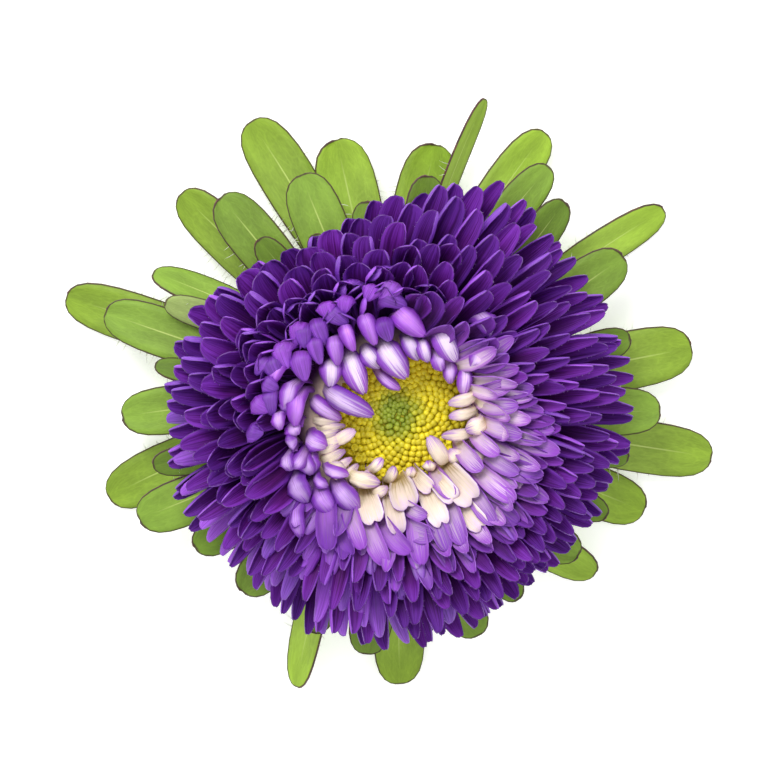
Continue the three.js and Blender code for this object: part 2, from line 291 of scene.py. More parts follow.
PETAL_ROWS = (
    (-0.1, 0.4), (0.34, 0.6), (0.58, 0.84), (0.74, 0.98), (0.87, 1), (0.945, 0.86), (0.985, 0.58),
    (1, 0.26),
)
BLUNT_ROWS = (
    (-0.1, 0.34), (0.2, 0.42), (0.45, 0.64), (0.66, 0.9), (0.82, 1), (0.93, 1), (1, 0.8),
)
HAIR = ((1, 0), (0.7, 0.5), (0, 1))
BRACT_ROWS = (
    (0, 0.3), (0.12, 0.36), (0.24, 0.45), (0.36, 0.57), (0.47, 0.7), (0.57, 0.83), (0.66, 0.93),
    (0.74, 0.99), (0.81, 1), (0.87, 0.98), (0.92, 0.91), (0.957, 0.78), (0.982, 0.58),
    (0.995, 0.36), (1, 0.16),
)
# How far along a blade its tip begins to turn up, and to draw in to a point
HOOK_FROM = 0.65
POINT_FROM = 0.6
RIPPLES = 9
FLATTEST = 0.02


def bezier(points, at):
    """Places and directions on a Bezier curve. Each pass cuts every leg in the same share."""
    at = np.asarray(at)[:, None]
    while len(points) > 2:
        points = [first + (last - first) * at for first, last in zip(points, points[1:])]
    first, last = points
    return first + (last - first) * at, unit(last - first)


def turned_about(vectors, axes, angles):
    """Turns each vector about its own unit axis."""
    cosine, sine = np.cos(angles)[:, None], np.sin(angles)[:, None]
    dots = np.sum(vectors * axes, axis=1)[:, None]
    return vectors * cosine + np.cross(axes, vectors) * sine + axes * dots * (1 - cosine)


def laid_blade(flat, spine, across, half_width, curl, fold=0, hook=0, roll=0, ripple=0, phase=0,
               rib=0, point=0):
    """One blade along its spine. curl gives half the angle of the arc of its cross-section, at a
    place along it, and fold rolls one side in more than the other. hook lifts the tip towards the
    upper face, ripple waves the margins, rib is the depth of its lengthwise grooves, and point
    draws the tip in to a point."""
    at = flat.along
    place, along = bezier(spine, at)
    sideways = np.tile(across, (len(at), 1))
    sideways = unit(sideways - along * np.sum(sideways * along, axis=1)[:, None])
    sideways = turned_about(sideways, along, roll * np.clip(2 * at, 0, 1))
    upward = np.cross(along, sideways)
    arc = np.maximum(curl(at), FLATTEST) * (1 + fold * np.sign(flat.side))
    pointed = point * np.clip((at - POINT_FROM) / (1 - POINT_FROM), 0, 1)
    half = half_width * flat.share * (1 - pointed)
    out = half * np.sin(arc * flat.side) / arc
    lift = half * (1 - np.cos(arc * flat.side)) / arc
    lift += hook * np.clip((at - HOOK_FROM) / (1 - HOOK_FROM), 0, 1) ** 2
    lift += ripple * np.sin(RIPPLES * at + phase) * np.abs(flat.side) ** 2 * np.sign(flat.side)
    lift += rib * np.cos(FULL_TURN * flat.side) * smooth(at, 0.2, 0.6)
    return place + sideways * out[:, None] + upward * lift[:, None]


HAIR_BEND = 0.14
HAIR_CROWDING = 1.3 # above 1, hairs stand closer towards the root


def add_margin_hairs(hairs, flat, corners, looks, count, span, length, thickness):
    """Hairs along both margins of a blade, over a span of its length. length gives the shortest
    and the longest."""
    lines = {}
    for side in (-1, 0, 1):
        on_line = np.flatnonzero(np.abs(flat.side - side) < NEAR)
        lines[side] = on_line[np.argsort(flat.along[on_line])]

    def place_on(side, at):
        steps = flat.along[lines[0]]
        return np.array([np.interp(at, steps, axis) for axis in corners[lines[side]].T])
    x, y, z = hairs.shape.corners.T
    for side in (-1, 1):
        for n in range(count):
            at = span[0] + (span[1] - span[0]) * ((n + next(looks)) / count) ** HAIR_CROWDING
            foot = place_on(side, at)
            stray = np.array([spread(looks, 0.5), spread(looks, 0.5), 0.25 + spread(looks, 0.4)])
            up = unit(unit(foot - place_on(0, at)) + stray)
            first = unit(np.cross(up, (0.3, 0.2, 1)))
            reach = length[0] + (length[1] - length[0]) * next(looks)
            hair = np.outer(thickness * x + HAIR_BEND * reach * z**2, first)
            hair += np.outer(thickness * y, np.cross(up, first)) + np.outer(reach * z, up)
            hairs.add(foot + hair, tone=next(looks))


def petal_curl(amount, pinch=0.15):
    """A petal is rolled into a tube at its root, opens to a boat, and is pinched at its tip."""
    return lambda at: amount * (1.4 - 0.4 * smooth(at, 0.1, 0.6) + pinch * smooth(at, 0.85, 1))


# Finishes

class Finish:
    """A material and its nodes, with short ways to add and join them."""

    def __init__(self, name):
        self.material = bpy.data.materials.new(name)
        self.material.use_nodes = True
        self.tree = self.material.node_tree
        self.shader = self.tree.nodes["Principled BSDF"]

    def fill(self, socket, value):
        if isinstance(value, bpy.types.NodeSocket):
            self.tree.links.new(value, socket)
        else:
            socket.default_value = value

    def node(self, kind, values=None, **settings):
        node = self.tree.nodes.new(kind)
        for key, value in settings.items():
            setattr(node, key, value)
        for key, value in (values or {}).items():
            self.fill(node.inputs[key], value)
        return node

    def math(self, operation, first, second=0.0, third=0.0):
        values = {0: first, 1: second, 2: third}
        return self.node("ShaderNodeMath", values, operation=operation).outputs[0]

    def plus(self, first, second):
        return self.math("ADD", first, second)

    def times(self, first, second):
        return self.math("MULTIPLY", first, second)

    def vector(self, operation, first, second=(0, 0, 0)):
        values = {0: first, 1: second}
        return self.node("ShaderNodeVectorMath", values, operation=operation).outputs

    def ramp(self, value, low, high, to_low=0.0, to_high=1.0):
        values = {"Value": value, "From Min": low, "From Max": high, "To Min": to_low,
                  "To Max": to_high}
        node = self.node("ShaderNodeMapRange", values, interpolation_type="SMOOTHSTEP")
        return node.outputs["Result"]

    def mix(self, share, first, second, blend="MIX"):
        """Colours of three numbers have the usual 0 to 255 values."""
        first, second = (linear(*colour) if isinstance(colour, tuple) and len(colour) == 3
                         else colour for colour in (first, second))
        node = self.node("ShaderNodeMix", {0: share, 6: first, 7: second}, data_type="RGBA",
                         blend_type=blend)
        return node.outputs[2]

    def grey(self, value):
        return self.node("ShaderNodeCombineColor", {0: value, 1: value, 2: value}).outputs[0]

    def shaded(self, colour, light):
        return self.mix(1.0, colour, self.grey(light), "MULTIPLY")

    def attribute(self, name):
        return self.node("ShaderNodeAttribute", attribute_name=name).outputs["Fac"]

    def by_tone(self, low, high):
        """A value that goes with the tone of each copy."""
        return self.ramp(self.attribute("tone"), 0, 1, low, high)

    def noise(self, vector, scale, detail=2.0, roughness=0.5):
        values = {"Vector": vector, "Scale": scale, "Detail": detail, "Roughness": roughness}
        return self.node("ShaderNodeTexNoise", values).outputs[0]

    def place(self):
        return self.node("ShaderNodeTexCoord").outputs["Object"]

    def blade_place(self):
        """How far a place is off the middle of its blade, and how far along it, both up to 1."""
        around = self.node("ShaderNodeUVMap", uv_map="blade").outputs[0]
        parts = self.node("ShaderNodeSeparateXYZ", {"Vector": around}).outputs
        return self.math("ABSOLUTE", self.math("MULTIPLY_ADD", parts["X"], 2.0, -1.0)), parts["Y"]

    def stretched(self, across, along):
        """The blade's own map, stretched, and shifted for each blade by its tone."""
        around = self.node("ShaderNodeUVMap", uv_map="blade").outputs[0]
        shift = self.node("ShaderNodeCombineXYZ", {"X": self.times(self.attribute("tone"), 37.0),
                                                   "Y": self.times(self.attribute("tone"), 11.0)})
        scaled = self.vector("MULTIPLY", around, (across, along, 1))[0]
        return self.vector("ADD", scaled, shift.outputs[0])[0]

    def set(self, **values):
        for key, value in values.items():
            self.fill(self.shader.inputs[key.replace("_", " ")], value)
        return self.material

    def surface(self, colour, roughness, gloss, relief, strength, depth):
        """Sets the shader, with a relief of a strength and a depth in metres."""
        bump = self.node("ShaderNodeBump",
                         {"Height": relief, "Strength": strength, "Distance": depth})
        return self.set(Base_Color=colour, Roughness=roughness, Specular_IOR_Level=gloss,
                        Normal=bump.outputs[0])


# The colours of each petal face at the root, along the middle, at the margins and at the tip,
# and those where a petal is pale. A name is one of the panel's colours.
PETAL_COLOURS = {
    # painted shade: the dark root and middle of the violet inner face are partly its own deep
    # colour and partly painted shade deep in its trough
    "violet_petal_inside": (
        ((68, 16, 82), "deep_violet", (115, 49, 162), (109, 45, 154)),
        ((156, 94, 186), (146, 80, 176), (160, 88, 196), (142, 70, 184))),
    # painted highlight: the lighter margins and tip of the violet outer face are partly its own
    # colour and partly a painted highlight
    "violet_petal_outside": (
        ((112, 46, 132), "violet", (133, 62, 184), (143, 78, 196)),
        ((216, 196, 214), (210, 172, 232), (170, 112, 216), (156, 92, 206))),
    "lilac_petal_inside": (
        ((160, 100, 176), (136, 60, 176), "lilac", (124, 54, 172)),
        ((246, 234, 216), (240, 214, 236), (190, 130, 208), (162, 90, 200))),
    "lilac_petal_outside": (
        ((160, 96, 190), (170, 92, 214), "lilac", (140, 60, 186)),
        ((216, 180, 216), (250, 234, 250), (146, 70, 192), (154, 78, 196))),
    # painted shade: the browner root of the cream inner face is partly its own yellowish colour
    # and partly painted shade at its base
    "cream_petal_inside": (
        ((190, 166, 104), "cream", (230, 206, 220), (214, 180, 214)),
        ((206, 186, 130), "cream", (242, 228, 234), (234, 212, 228))),
    "cream_petal_outside": (
        ((236, 222, 160), "cream", (206, 160, 216), (146, 80, 190)),
        ((244, 234, 186), "cream", (232, 208, 228), (206, 160, 220))),
}
PALE_EVENED = 0.7 # how much less the light varies where a petal is pale


def petal_finish(name, colours, roughness, gloss, streaks=0.24, root_to=0.72, edge_from=0.45,
                 tip_from=0.8, fray=0.5):
    """A petal face. The colours of its root, margins and tip run out in frayed streaks."""
    finish = Finish(name)
    off_middle, along = finish.blade_place()
    streak = finish.noise(finish.stretched(24, 1.5), 1.0, 3.0, 0.6)
    blotch = finish.noise(finish.stretched(3, 2.5), 1.3)
    cells = finish.noise(finish.stretched(60, 70), 1.0, 1.0)
    reach = finish.math("MULTIPLY_ADD", streak, fray, -fray / 2)
    frayed = finish.plus(along, reach)
    from_root = finish.ramp(frayed, root_to - 0.35, root_to)
    edge = finish.ramp(finish.plus(off_middle, reach), edge_from, edge_from + 0.55)
    at_tip = finish.ramp(frayed, tip_from, tip_from + 0.25)
    laid = []
    for row in PETAL_COLOURS[name]:
        root, middle, margin, tip = (getattr(colours, each) if isinstance(each, str) else each
                                     for each in row)
        colour = finish.mix(edge, finish.mix(from_root, root, middle), margin)
        laid.append(finish.mix(at_tip, colour, tip))
    pale = finish.attribute("pale")
    light = finish.plus(finish.ramp(streak, 0.25, 0.75, 1 - streaks, 1 + streaks),
                        finish.ramp(blotch, 0.3, 0.7, -0.12, 0.12))
    light = finish.grey(finish.times(light, finish.by_tone(0.83, 1.17)))
    light = finish.mix(finish.times(pale, PALE_EVENED), light, (1, 1, 1, 1))
    colour = finish.mix(1.0, finish.mix(pale, *laid), light, "MULTIPLY")
    colour = finish.node("ShaderNodeHueSaturation",
                         {"Hue": finish.by_tone(0.49, 0.502), "Color": colour}).outputs[0]
    relief = finish.plus(finish.times(streak, 0.7), finish.times(cells, 0.3))
    return finish.surface(colour, roughness, gloss, relief, 0.35, 0.0004)


def rim_finish(name, colour, pale):
    """The thin edge all round a petal, a little lighter towards its tip."""
    finish = Finish(name)
    shade = finish.noise(finish.stretched(3, 14), 1.0)
    mixed = finish.mix(finish.attribute("pale"), colour, pale)
    mixed = finish.shaded(mixed, finish.ramp(shade, 0.3, 0.7, 0.8, 1.2))
    glint = finish.times(finish.ramp(finish.blade_place()[1], 0.75, 1.0),
                         finish.ramp(shade, 0.5, 0.6))
    mixed = finish.mix(finish.times(glint, 0.1), mixed, (214, 190, 236))
    return finish.surface(mixed, 0.4, 0.2, shade, 0.3, 0.0003)


def core_finish(name, cream, violet):
    """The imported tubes, cream round the disc and violet under the outer petals."""
    finish = Finish(name)
    place = finish.place()
    off_axis = finish.vector("LENGTH", finish.vector("MULTIPLY", place, (1, 1, 0))[0])["Value"]
    mottle = finish.noise(place, 700.0, 3.0, 0.6)
    colour = finish.mix(finish.ramp(off_axis, 0.0135, 0.0165), cream, violet)
    colour = finish.shaded(colour, finish.ramp(mottle, 0.3, 0.7, 0.8, 1.15))
    return finish.surface(colour, 0.6, 0.1, mottle, 0.4, 0.0004)


def bract_finish(name, root, blade, tip, underside=False):
    """A bract face, with its net of veins, its pale midrib and its thin dark margin."""
    finish = Finish(name)
    off_middle, along = finish.blade_place()
    blotch = finish.noise(finish.stretched(1.6, 3.2), 1.6, 3.0, 0.55)
    grain = finish.noise(finish.stretched(26, 60), 1.0)
    veins = finish.node("ShaderNodeTexVoronoi", {"Vector": finish.stretched(5.5, 9), "Scale": 1.6},
                        feature="DISTANCE_TO_EDGE").outputs["Distance"]
    vein = finish.ramp(veins, 0.0, 0.09, 1, 0)
    thin = finish.math("MULTIPLY_ADD", along, -0.05, 0.075)
    rib = finish.ramp(finish.math("DIVIDE", off_middle, thin), 0.3, 1.2, 1, 0)
    rib = finish.times(rib, finish.ramp(along, 0.8, 0.96, 1, 0))
    colour = finish.mix(finish.ramp(along, 0.2, 0.75), root, blade)
    colour = finish.mix(finish.ramp(along, 0.7, 1.0), colour, tip)
    light = finish.times(finish.ramp(blotch, 0.25, 0.75, 0.82, 1.18), finish.by_tone(0.84, 1.16))
    light = finish.plus(light, finish.times(vein, 0.08))
    light = finish.plus(light, finish.ramp(grain, 0.3, 0.7, -0.05, 0.05))
    colour = finish.mix(finish.times(rib, 0.75), finish.shaded(colour, light), (196, 216, 120))
    wander = finish.math("MULTIPLY_ADD", blotch, 0.34, 0.03)
    dark = finish.ramp(finish.math("DIVIDE", finish.attribute("edge"), wander), 0.5, 1.2, 0.85, 0)
    colour = finish.mix(dark, colour, (64, 30, 40))
    relief = finish.plus(finish.times(vein, 0.25), rib)
    if not underside:
        relief = finish.times(relief, -1.0)
    relief = finish.plus(relief, finish.times(grain, 0.4))
    return finish.surface(colour, 0.55, 0.25, relief, 0.25, 0.0002)


def rounded_finish(name, low, high, roughness, gloss=0.4):
    """A small rounded body, with painted shade low down between its neighbours and light on its
    crown.
    """
    finish = Finish(name)
    height = finish.blade_place()[1]
    speck = finish.noise(finish.place(), 2600.0)
    # painted shade: each floret, yellow or green, darkens from its crown down to its foot between
    # its neighbours
    colour = finish.mix(finish.ramp(height, 0.35, 0.95), low, high)
    green = finish.mix(finish.ramp(height, 0.3, 1.0), (96, 116, 24), (140, 156, 44))
    colour = finish.mix(finish.attribute("green"), colour, green)
    light = finish.times(finish.ramp(speck, 0.3, 0.7, 0.88, 1.12), finish.by_tone(0.84, 1.16))
    return finish.surface(finish.shaded(colour, light), roughness, gloss, speck, 0.2, 0.0002)


def ground_finish(name, low, high, scale):
    """A plain plant surface with fine mottling, for what shows between the pieces."""
    finish = Finish(name)
    mottle = finish.noise(finish.place(), scale, 3.0, 0.6)
    colour = finish.mix(finish.ramp(mottle, 0.35, 0.65), low, high)
    return finish.surface(colour, 0.6, 0.5, mottle, 0.4, 0.0004)


# Violet ray florets

# The frame's rows, with more between them: root, bend and tip as distance from the axis and
# height, and the width laid flat
VIOLET_GROUPS = {
    "violet_ray_florets_lower": (38, (
        ((16.4, 16), (25.4, 17.2), (HEAD_RADIUS, 16), 4.4),
        ((16.3, 16.8), (25, 19.6), (37.2, 19), 4.4),
        ((16.2, 17.5), (24.2, 22.6), (36.2, 22.2), 4.4),
        ((16, 18.2), (23, 25.6), (34.6, 25), 4.4),
    )),
    "violet_ray_florets_middle": (37, (
        ((15.2, 19.2), (21.4, 27.8), (32.6, 27.6), 4.3),
        ((15, 19.7), (20, 29.4), (30.4, 29.6), 4.2),
        ((14.8, 20.2), (18.6, 30.4), (28.2, 31), 4.2),
    )),
    "violet_ray_florets_crest": (33, (
        ((14.3, 20.4), (17.2, 30.8), (26, 31.8), 4),
        ((14, 20.8), (16.2, 30.8), (23.7, 32.2), 3.9),
        ((13.6, 21.2), (15.2, 30.4), (21.5, 32.4), 3.8),
    )),
}
# Arcs of a row: how many would stand in a full turn, the azimuths they span, and the row. The
# lilac ones have how pale they are, too.
UPRIGHT_ARCS = (
    (30, 1.35, 3.9, ((15.2, 19.4), (24.4, 26), (31.8, 30), 4.5)),
    (27, 1.4, 3.8, ((14.6, 20.4), (21.5, 28), (26.6, 32), 4.2)),
)
LILAC_ARCS = (
    (36, -2.5, 1.2, ((12.6, 20.6), (13.8, 29.5), (22, 32.2), 3.6), 0.35),
    (32, -2.3, 1.1, ((12, 20.4), (12.6, 29.5), (19.6, 32.6), 3.3), 0.8),
    (26, -0.6, 1, ((11.4, 20), (11.4, 28), (16.8, 32), 2.9), 1),
)
# The sides of the head, as azimuths in degrees
UPRIGHT_SIDE = 145
TURNED_OVER_SIDE = 235
NARROW_SIDE = 215
CROWDED_SIDE = -50
PALEST_SIDE = 15
UPRIGHT_FROM = 25 # the height of tips from which they stand upright there
UPRIGHT_FULL = 32
UPRIGHT_BACK = 4.2 # how far inside its tip and below it an upright floret bends
UPRIGHT_BELOW = 7.5
UPRIGHT_LOWER = 1 # how much lower the tips of the inner rows end there
COVERED_WITHIN = 24.5 # the curled petals cover the crest's inner tips on that side
COVERED_SHARE = 0.5
SWAY = 0.1
HEIGHT_STRAY = 0.7
SIDEWAYS_STRAY = 0.6
ROOT_SWEPT = 0.7
BEND_SWAYED = 0.4
SWEPT = math.radians(18)
TURNED_OVER = 0.36
LIGHT_SIDE = (-0.4, 0.9, 0)
LIT = 0.66 # the share of florets that fold their lit side in
FOLD_LEAST = 0.35
NARROW_FOLD = 0.2
THINNED = 0.1
BROAD = 1.08
BROAD_STRAY = 0.13
BROADER = {NARROW_SIDE: -0.03, CROWDED_SIDE: 0.2, UPRIGHT_SIDE: 0.27}
FLATTER = 0.5 # how much less an upright or an open floret is rolled
CURL_STRAY = 0.25
HOOK_STRAY = 0.6
POINT = 0.48 # for all but those opposite the crowded side
NARROW_POINT = 0.5
UPRIGHT_BLUNT = 0.15
PALE_EVEN = 0.68
PALE_TURN = 0.5
# Where the head is fuller or less full than a round one: azimuth, spread, and how much further
# out the outer tips stand there
OUTLINE = ((118, 20, -6), (66, 13, 2.8), (315, 34, -3.7), (95, 12, -1.4), (228, 12, -2))
OUTLINE_FROM = 23
PALE_CENTRE = (1, -0.5)
PALE_FROM = 24
PALE_FULL = 16.5
PALE_MOST = 0.65


def towards(turn, side):
    """1 straight towards a side of the head, and 0 from a right angle to it on."""
    return max(0, math.cos(turn - math.radians(side)))


def paleness(place):
    distance = math.hypot(place[0] - PALE_CENTRE[0], place[1] - PALE_CENTRE[1])
    return PALE_MOST * (1 - smooth(distance, PALE_FULL, PALE_FROM))


def outline_shift(turn, radius):
    """How much further out a tip stands at one side of the head."""
    shift = 0
    for azimuth, width, amount in OUTLINE:
        away = (math.degrees(turn) - azimuth + 180) % 360 - 180
        shift += amount * math.exp(-(away / width) ** 2)
    return shift * smooth(radius, OUTLINE_FROM, HEAD_RADIUS)


def floret_spine(row, turn, draw, sizes):
    """The spine of one floret, how upright it is, and its heading. Towards the upright side, the
    upper ones stand up. To both sides of it, they all sweep away from it."""
    root, bend, tip, _ = row
    upright = sizes.upright * towards(turn, UPRIGHT_SIDE)
    upright *= smooth(tip[1], UPRIGHT_FROM, UPRIGHT_FULL)
    stand = np.array([tip[0] - UPRIGHT_BACK, tip[1] - UPRIGHT_BELOW])
    bend = np.array(bend) * (1 - upright) + stand * upright
    reach = tip[0] + spread(draw, sizes.stray) * (1 if tip[1] > UPRIGHT_FROM else 0.5)
    reach += outline_shift(turn, tip[0])
    lower = UPRIGHT_LOWER * upright * smooth(-tip[0], -25, -20)
    height = tip[1] + spread(draw, HEIGHT_STRAY) - lower
    stray = SIDEWAYS_STRAY * sizes.stray * (1 + upright)
    sideways = polar(turn + math.pi / 2, spread(draw, stray), 0)
    swept = SWEPT * math.sin(turn - math.radians(UPRIGHT_SIDE))
    back = polar(turn - math.pi / 2, math.tan(swept) * (tip[0] - bend[0]), 0)
    spine = [polar(turn, *root) + ROOT_SWEPT * back,
             polar(turn, *bend) + BEND_SWAYED * sideways + back,
             polar(turn, reach, height) + sideways]
    return leaned(np.array(spine)), upright, turn + swept


def add_floret(bunch, row, turn, draw, sizes, pale=None, openness=0):
    """One ray floret. openness makes it flatter and more even."""
    spine, upright, heading = floret_spine(row, turn, draw, sizes)
    narrow = towards(turn, NARROW_SIDE)
    across = np.array([-math.sin(heading), math.cos(heading), 0])
    lit = 1 if np.dot(across, LIGHT_SIDE) > 0 else -1
    fold = sizes.petal_fold * (lit if next(draw) < LIT else -lit)
    fold *= FOLD_LEAST + (1 - FOLD_LEAST) * next(draw)
    fold *= (1 - 0.6 * upright) * (1 - 0.7 * openness) * (1 + NARROW_FOLD * narrow)
    if next(draw) < TURNED_OVER * towards(turn, TURNED_OVER_SIDE) ** 4:
        across = -across
    broad = 1 + sum(more * towards(turn, side) for side, more in BROADER.items())
    point = POINT * smooth(math.cos(turn - math.radians(CROWDED_SIDE)), -0.8, 0.3)
    point = max(point, NARROW_POINT * narrow) - UPRIGHT_BLUNT * towards(turn, UPRIGHT_SIDE)
    half_width = row[3] / 2 * broad * (BROAD + spread(draw, BROAD_STRAY))
    curl = sizes.petal_curl - FLATTER * (upright + openness)
    curl = petal_curl(curl + spread(draw, CURL_STRAY + 0.3 * upright))
    hook = sizes.petal_hook * (1 + spread(draw, HOOK_STRAY)) * (1 - 0.75 * upright)
    corners = laid_blade(bunch.shape, spine, across, half_width, curl, fold, hook,
                         roll=spread(draw, sizes.petal_roll), point=point)
    if pale is None:
        pale = paleness(0.3 * spine[1] + 0.7 * spine[2])
    else:
        pale *= PALE_EVEN + PALE_TURN * math.cos(turn - math.radians(PALEST_SIDE))
    bunch.add(corners, tone=next(draw), pale=min(1, max(0, pale * (1 + spread(draw, 0.25)))))


def add_row(bunch, row, count, first, draw, sizes):
    """One row of ray florets, each a little out of its even place. Some are left out, where the
    lean crowds them and where the curled petals cover them."""
    step = FULL_TURN / count
    for i in range(count):
        turn = (i + first + spread(draw, SWAY)) * step
        covered = row[2][0] < COVERED_WITHIN and towards(turn, UPRIGHT_SIDE) > COVERED_SHARE
        if next(draw) > THINNED * towards(turn, CROWDED_SIDE) and not covered:
            add_floret(bunch, row, turn, draw, sizes)


def add_arc(bunch, arc, draw, sizes, pale=None, openness=0):
    """Part of a row, from one azimuth to another."""
    count, first, last, row = arc
    step = FULL_TURN / count
    for i in range(int((last - first) / step)):
        turn = first + (i + spread(draw, SWAY)) * step
        add_floret(bunch, row, turn, draw, sizes, pale, openness)


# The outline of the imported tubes, from the seat over the crest and down to the disc
TUBES_PROFILE = ((16.6, SEAT), (20, 16.6), (20.4, 19), (19, 22.4), (17.2, 24.6), (15.2, 25.6),
                 (13.4, 24.6), (12.2, 21), (11.6, SEAT))
TUBES_AROUND = 48

# The inner petals, as they stand in this one head. Each comes over the crest at one place and
# ends at another: x and y of both from the axis, the heights there, the width and, for all but
# the cream ones, how pale it is.
CURLED_OVER = (
    (5, 17.3, 8.3, 11.1, 32, 29, 4.2, 0.85), (-0.2, 16.1, 2.6, 11.3, 31, 28.5, 2.8, 0.7),
    (2.3, 15.5, 4, 11, 31, 29, 2.4, 0.7), (-4.2, 15.2, 0.6, 8.3, 31, 28, 4.8, 0.8),
    (-6.6, 14, -3.3, 9.8, 31, 27, 3.4, 0.8), (-9.1, 14, -5.9, 5.6, 31, 27, 4.2, 0.85),
    (-11.2, 12.7, -11.5, 6.9, 31.5, 28, 3.8, 0.75), (-13.1, 7.3, -4.5, 2.2, 30, 27, 3.8, 0.6),
    (-15.1, 5.7, -9.4, 1.2, 28, 25, 2.8, 0.4), (-4.4, 9, -0.2, 6, 26, 25, 2, 0.35),
    (11, 20.8, 14.6, 14.7, 33, 31, 3.5, 0.4), (11.8, 13.5, 10.4, 9.9, 32, 29, 3, 0.6),
    (4.7, 13.1, 6.3, 9.5, 30, 28, 2.6, 0.45), (6.8, 11.1, 7.5, 6.9, 28, 26, 2.4, 0.45),
    (9.4, 10.3, 9.5, 5, 29, 26, 2.6, 0.6), (-15.6, -0.2, -11.7, -2.4, 30, 28, 3.9, 0.4),
    (-14.7, -2.8, -14.3, -6.9, 30, 28, 3.4, 0.35), (-18.7, -1.6, -16.2, -0.7, 31, 29.5, 3.5, 0.3),
    (-17.5, 2.5, -16.3, -0.4, 31, 29, 3.2, 0.35), (-17.5, -3.2, -18.1, -6, 31, 29.5, 3, 0.3),
    (-18.1, 6.5, -18.7, 3.3, 32, 30, 3, 0.15), (-18, -5.9, -15.2, -11, 32, 30, 4, 0.3),
    (-13.7, -7.8, -10.7, -12.9, 31.5, 29.5, 3.8, 0.15), (-10.8, -7.1, -6.9, -12.5, 31, 29, 4, 0.3),
    (-12.8, -5.2, -8.3, -6.8, 30, 28.5, 2.2, 0.45), (-14.2, -6.3, -11.6, -8.2, 31, 30, 1.9, 0.2),
    (-17.4, 9.7, -18.4, 3.9, 33, 31, 2.9, 0.35), (-20, 4.8, -19, 0.9, 33, 31, 2.4, 0.3),
    (-15.3, -2.4, -17.6, -5.2, 32, 30.5, 2.6, 0.3),
    (-18.7, -2.4, -17.8, -5.7, 32, 30.5, 2.6, 0.35), (-15.7, -3, -14.3, -6.8, 31, 29, 2.8, 0.3),
    (-17.4, -10.4, -16.3, -16, 33, 32, 2.6, 0.15),
)
# The shorter ones on the crest. The palest of them are lilac and the others violet.
LILAC_FROM = 0.07
CURLED_ON_CREST = (
    (-9.8, 19.1, -7.6, 13.2, 33, 31, 2.6, 0.09), (-7, 21, -4.4, 14.1, 33, 31, 3.1, 0.07),
    (-11.5, 17.3, -10.3, 10.9, 33, 31, 2.9, 0.1), (-14.5, 17.6, -12.9, 11.2, 33, 31, 2.8, 0.04),
    (-16.8, 15.2, -15.2, 8.6, 33, 31, 3.8, 0.05), (-13.1, 21.6, -8.4, 17.7, 33, 31, 3.2, 0.04),
    (-14.4, 20.4, -11.9, 14.3, 33, 31, 3.3, 0.03), (-16.1, 19.8, -17, 14.1, 33, 31, 2.8, 0.02),
    (-17.7, 16.7, -19.6, 10.7, 33, 31, 2.5, 0.05), (-19.1, 13, -21.1, 8.1, 33, 31, 2.3, 0.07),
    (-5.2, 22.8, 0.4, 20, 33, 31, 3.3, 0.03), (-4, 20, -2.1, 14.7, 33, 31, 3.6, 0),
    (-2.2, 21.2, 3.3, 15.6, 33, 31, 4.2, 0.09), (-21.2, 9, -20.3, 3.2, 33, 31, 3, 0.05),
    (-21.1, 14, -23.2, 9.6, 33, 31, 2.4, 0.04), (-16.3, 8, -16.8, 1.4, 33, 31, 3.2, 0.1),
    (-1.1, 25.9, -4.2, 21.2, 33, 31.6, 3.6, 0.06), (-4.2, 25.2, -6, 21, 33, 31.6, 3.7, 0.01),
    (-8.8, 23.7, -9.5, 19, 33, 31.6, 2.9, 0.01), (-12.7, 22.8, -11.5, 18.3, 33, 31.6, 3.6, 0.01),
    (-16.1, 19.4, -15.2, 13.8, 33, 31.6, 3.1, 0.01),
    (-20.1, 16.6, -17.9, 10.7, 33, 31.6, 3.4, 0.04),
    (-21.8, 14.4, -19.5, 8.9, 33, 31.6, 3.7, 0.02), (-23.1, 10, -19.3, 7.4, 33, 31.6, 3.2, 0.04),
    (-24.9, 6.9, -20.6, 4.2, 33, 31.6, 3.6, 0.03), (-25.5, 2.2, -21.5, 1, 33, 31.6, 3.8, 0),
)
LEANING_OUT = (
    (-9.1, -11.5, -6.7, -17.4, 31, 33, 2.8, 0.35),
    (-11.2, -13.4, -8.4, -18.4, 31.5, 33, 3.3, 0.07),
    (-6.6, -13.1, -3, -19.9, 30.5, 33, 3.2, 0.385), (-4.2, -13.5, 0.8, -18, 30.5, 33, 3.4, 0.21),
    (-0.1, -11.6, 3.3, -12.4, 29, 31.5, 2.6, 0.7), (-0.3, -14.8, 4.5, -15.5, 30, 32, 3.4, 0.49),
    (10.4, -8.3, 13.9, -13.6, 30, 33, 3.2, 0.56), (11.4, -6.1, 17, -9.9, 30, 33, 3.2, 0.7),
    (14.1, -4.4, 21.2, -6.3, 30.5, 33, 3.4, 0.245), (9.1, -2.7, 11.9, -5.4, 28.5, 31, 3, 0.7),
    (5.1, -7.2, 7.5, -9.8, 28, 30.5, 2.8, 0.63), (6.6, -10.1, 8.9, -16.9, 29.5, 33, 3.3, 0.56),
    (3.5, -10.8, 6.5, -17.8, 29.5, 33, 3.2, 0.385), (11.2, -0.5, 14.5, -2.8, 28.5, 31.5, 2.8, 0.7),
    (-12.5, -10.5, -12, -17.5, 31.5, 33, 3.4, 0.07), (1.5, -12.5, 2.5, -20, 30, 33, 3.2, 0.28),
    (12, -9.5, 17.5, -13.5, 30.5, 33, 3.4, 0.21), (12.5, -3, 17.6, -5.6, 29.5, 32.4, 2.9, 0.56),
    (12.5, 1.2, 18, 0.2, 29, 32.2, 2.8, 0.7), (12.2, 4, 17.4, 5, 29, 32, 2.7, 0.63),
    (11.6, 6.2, 16.4, 8.6, 29, 32, 2.8, 0.56),
)
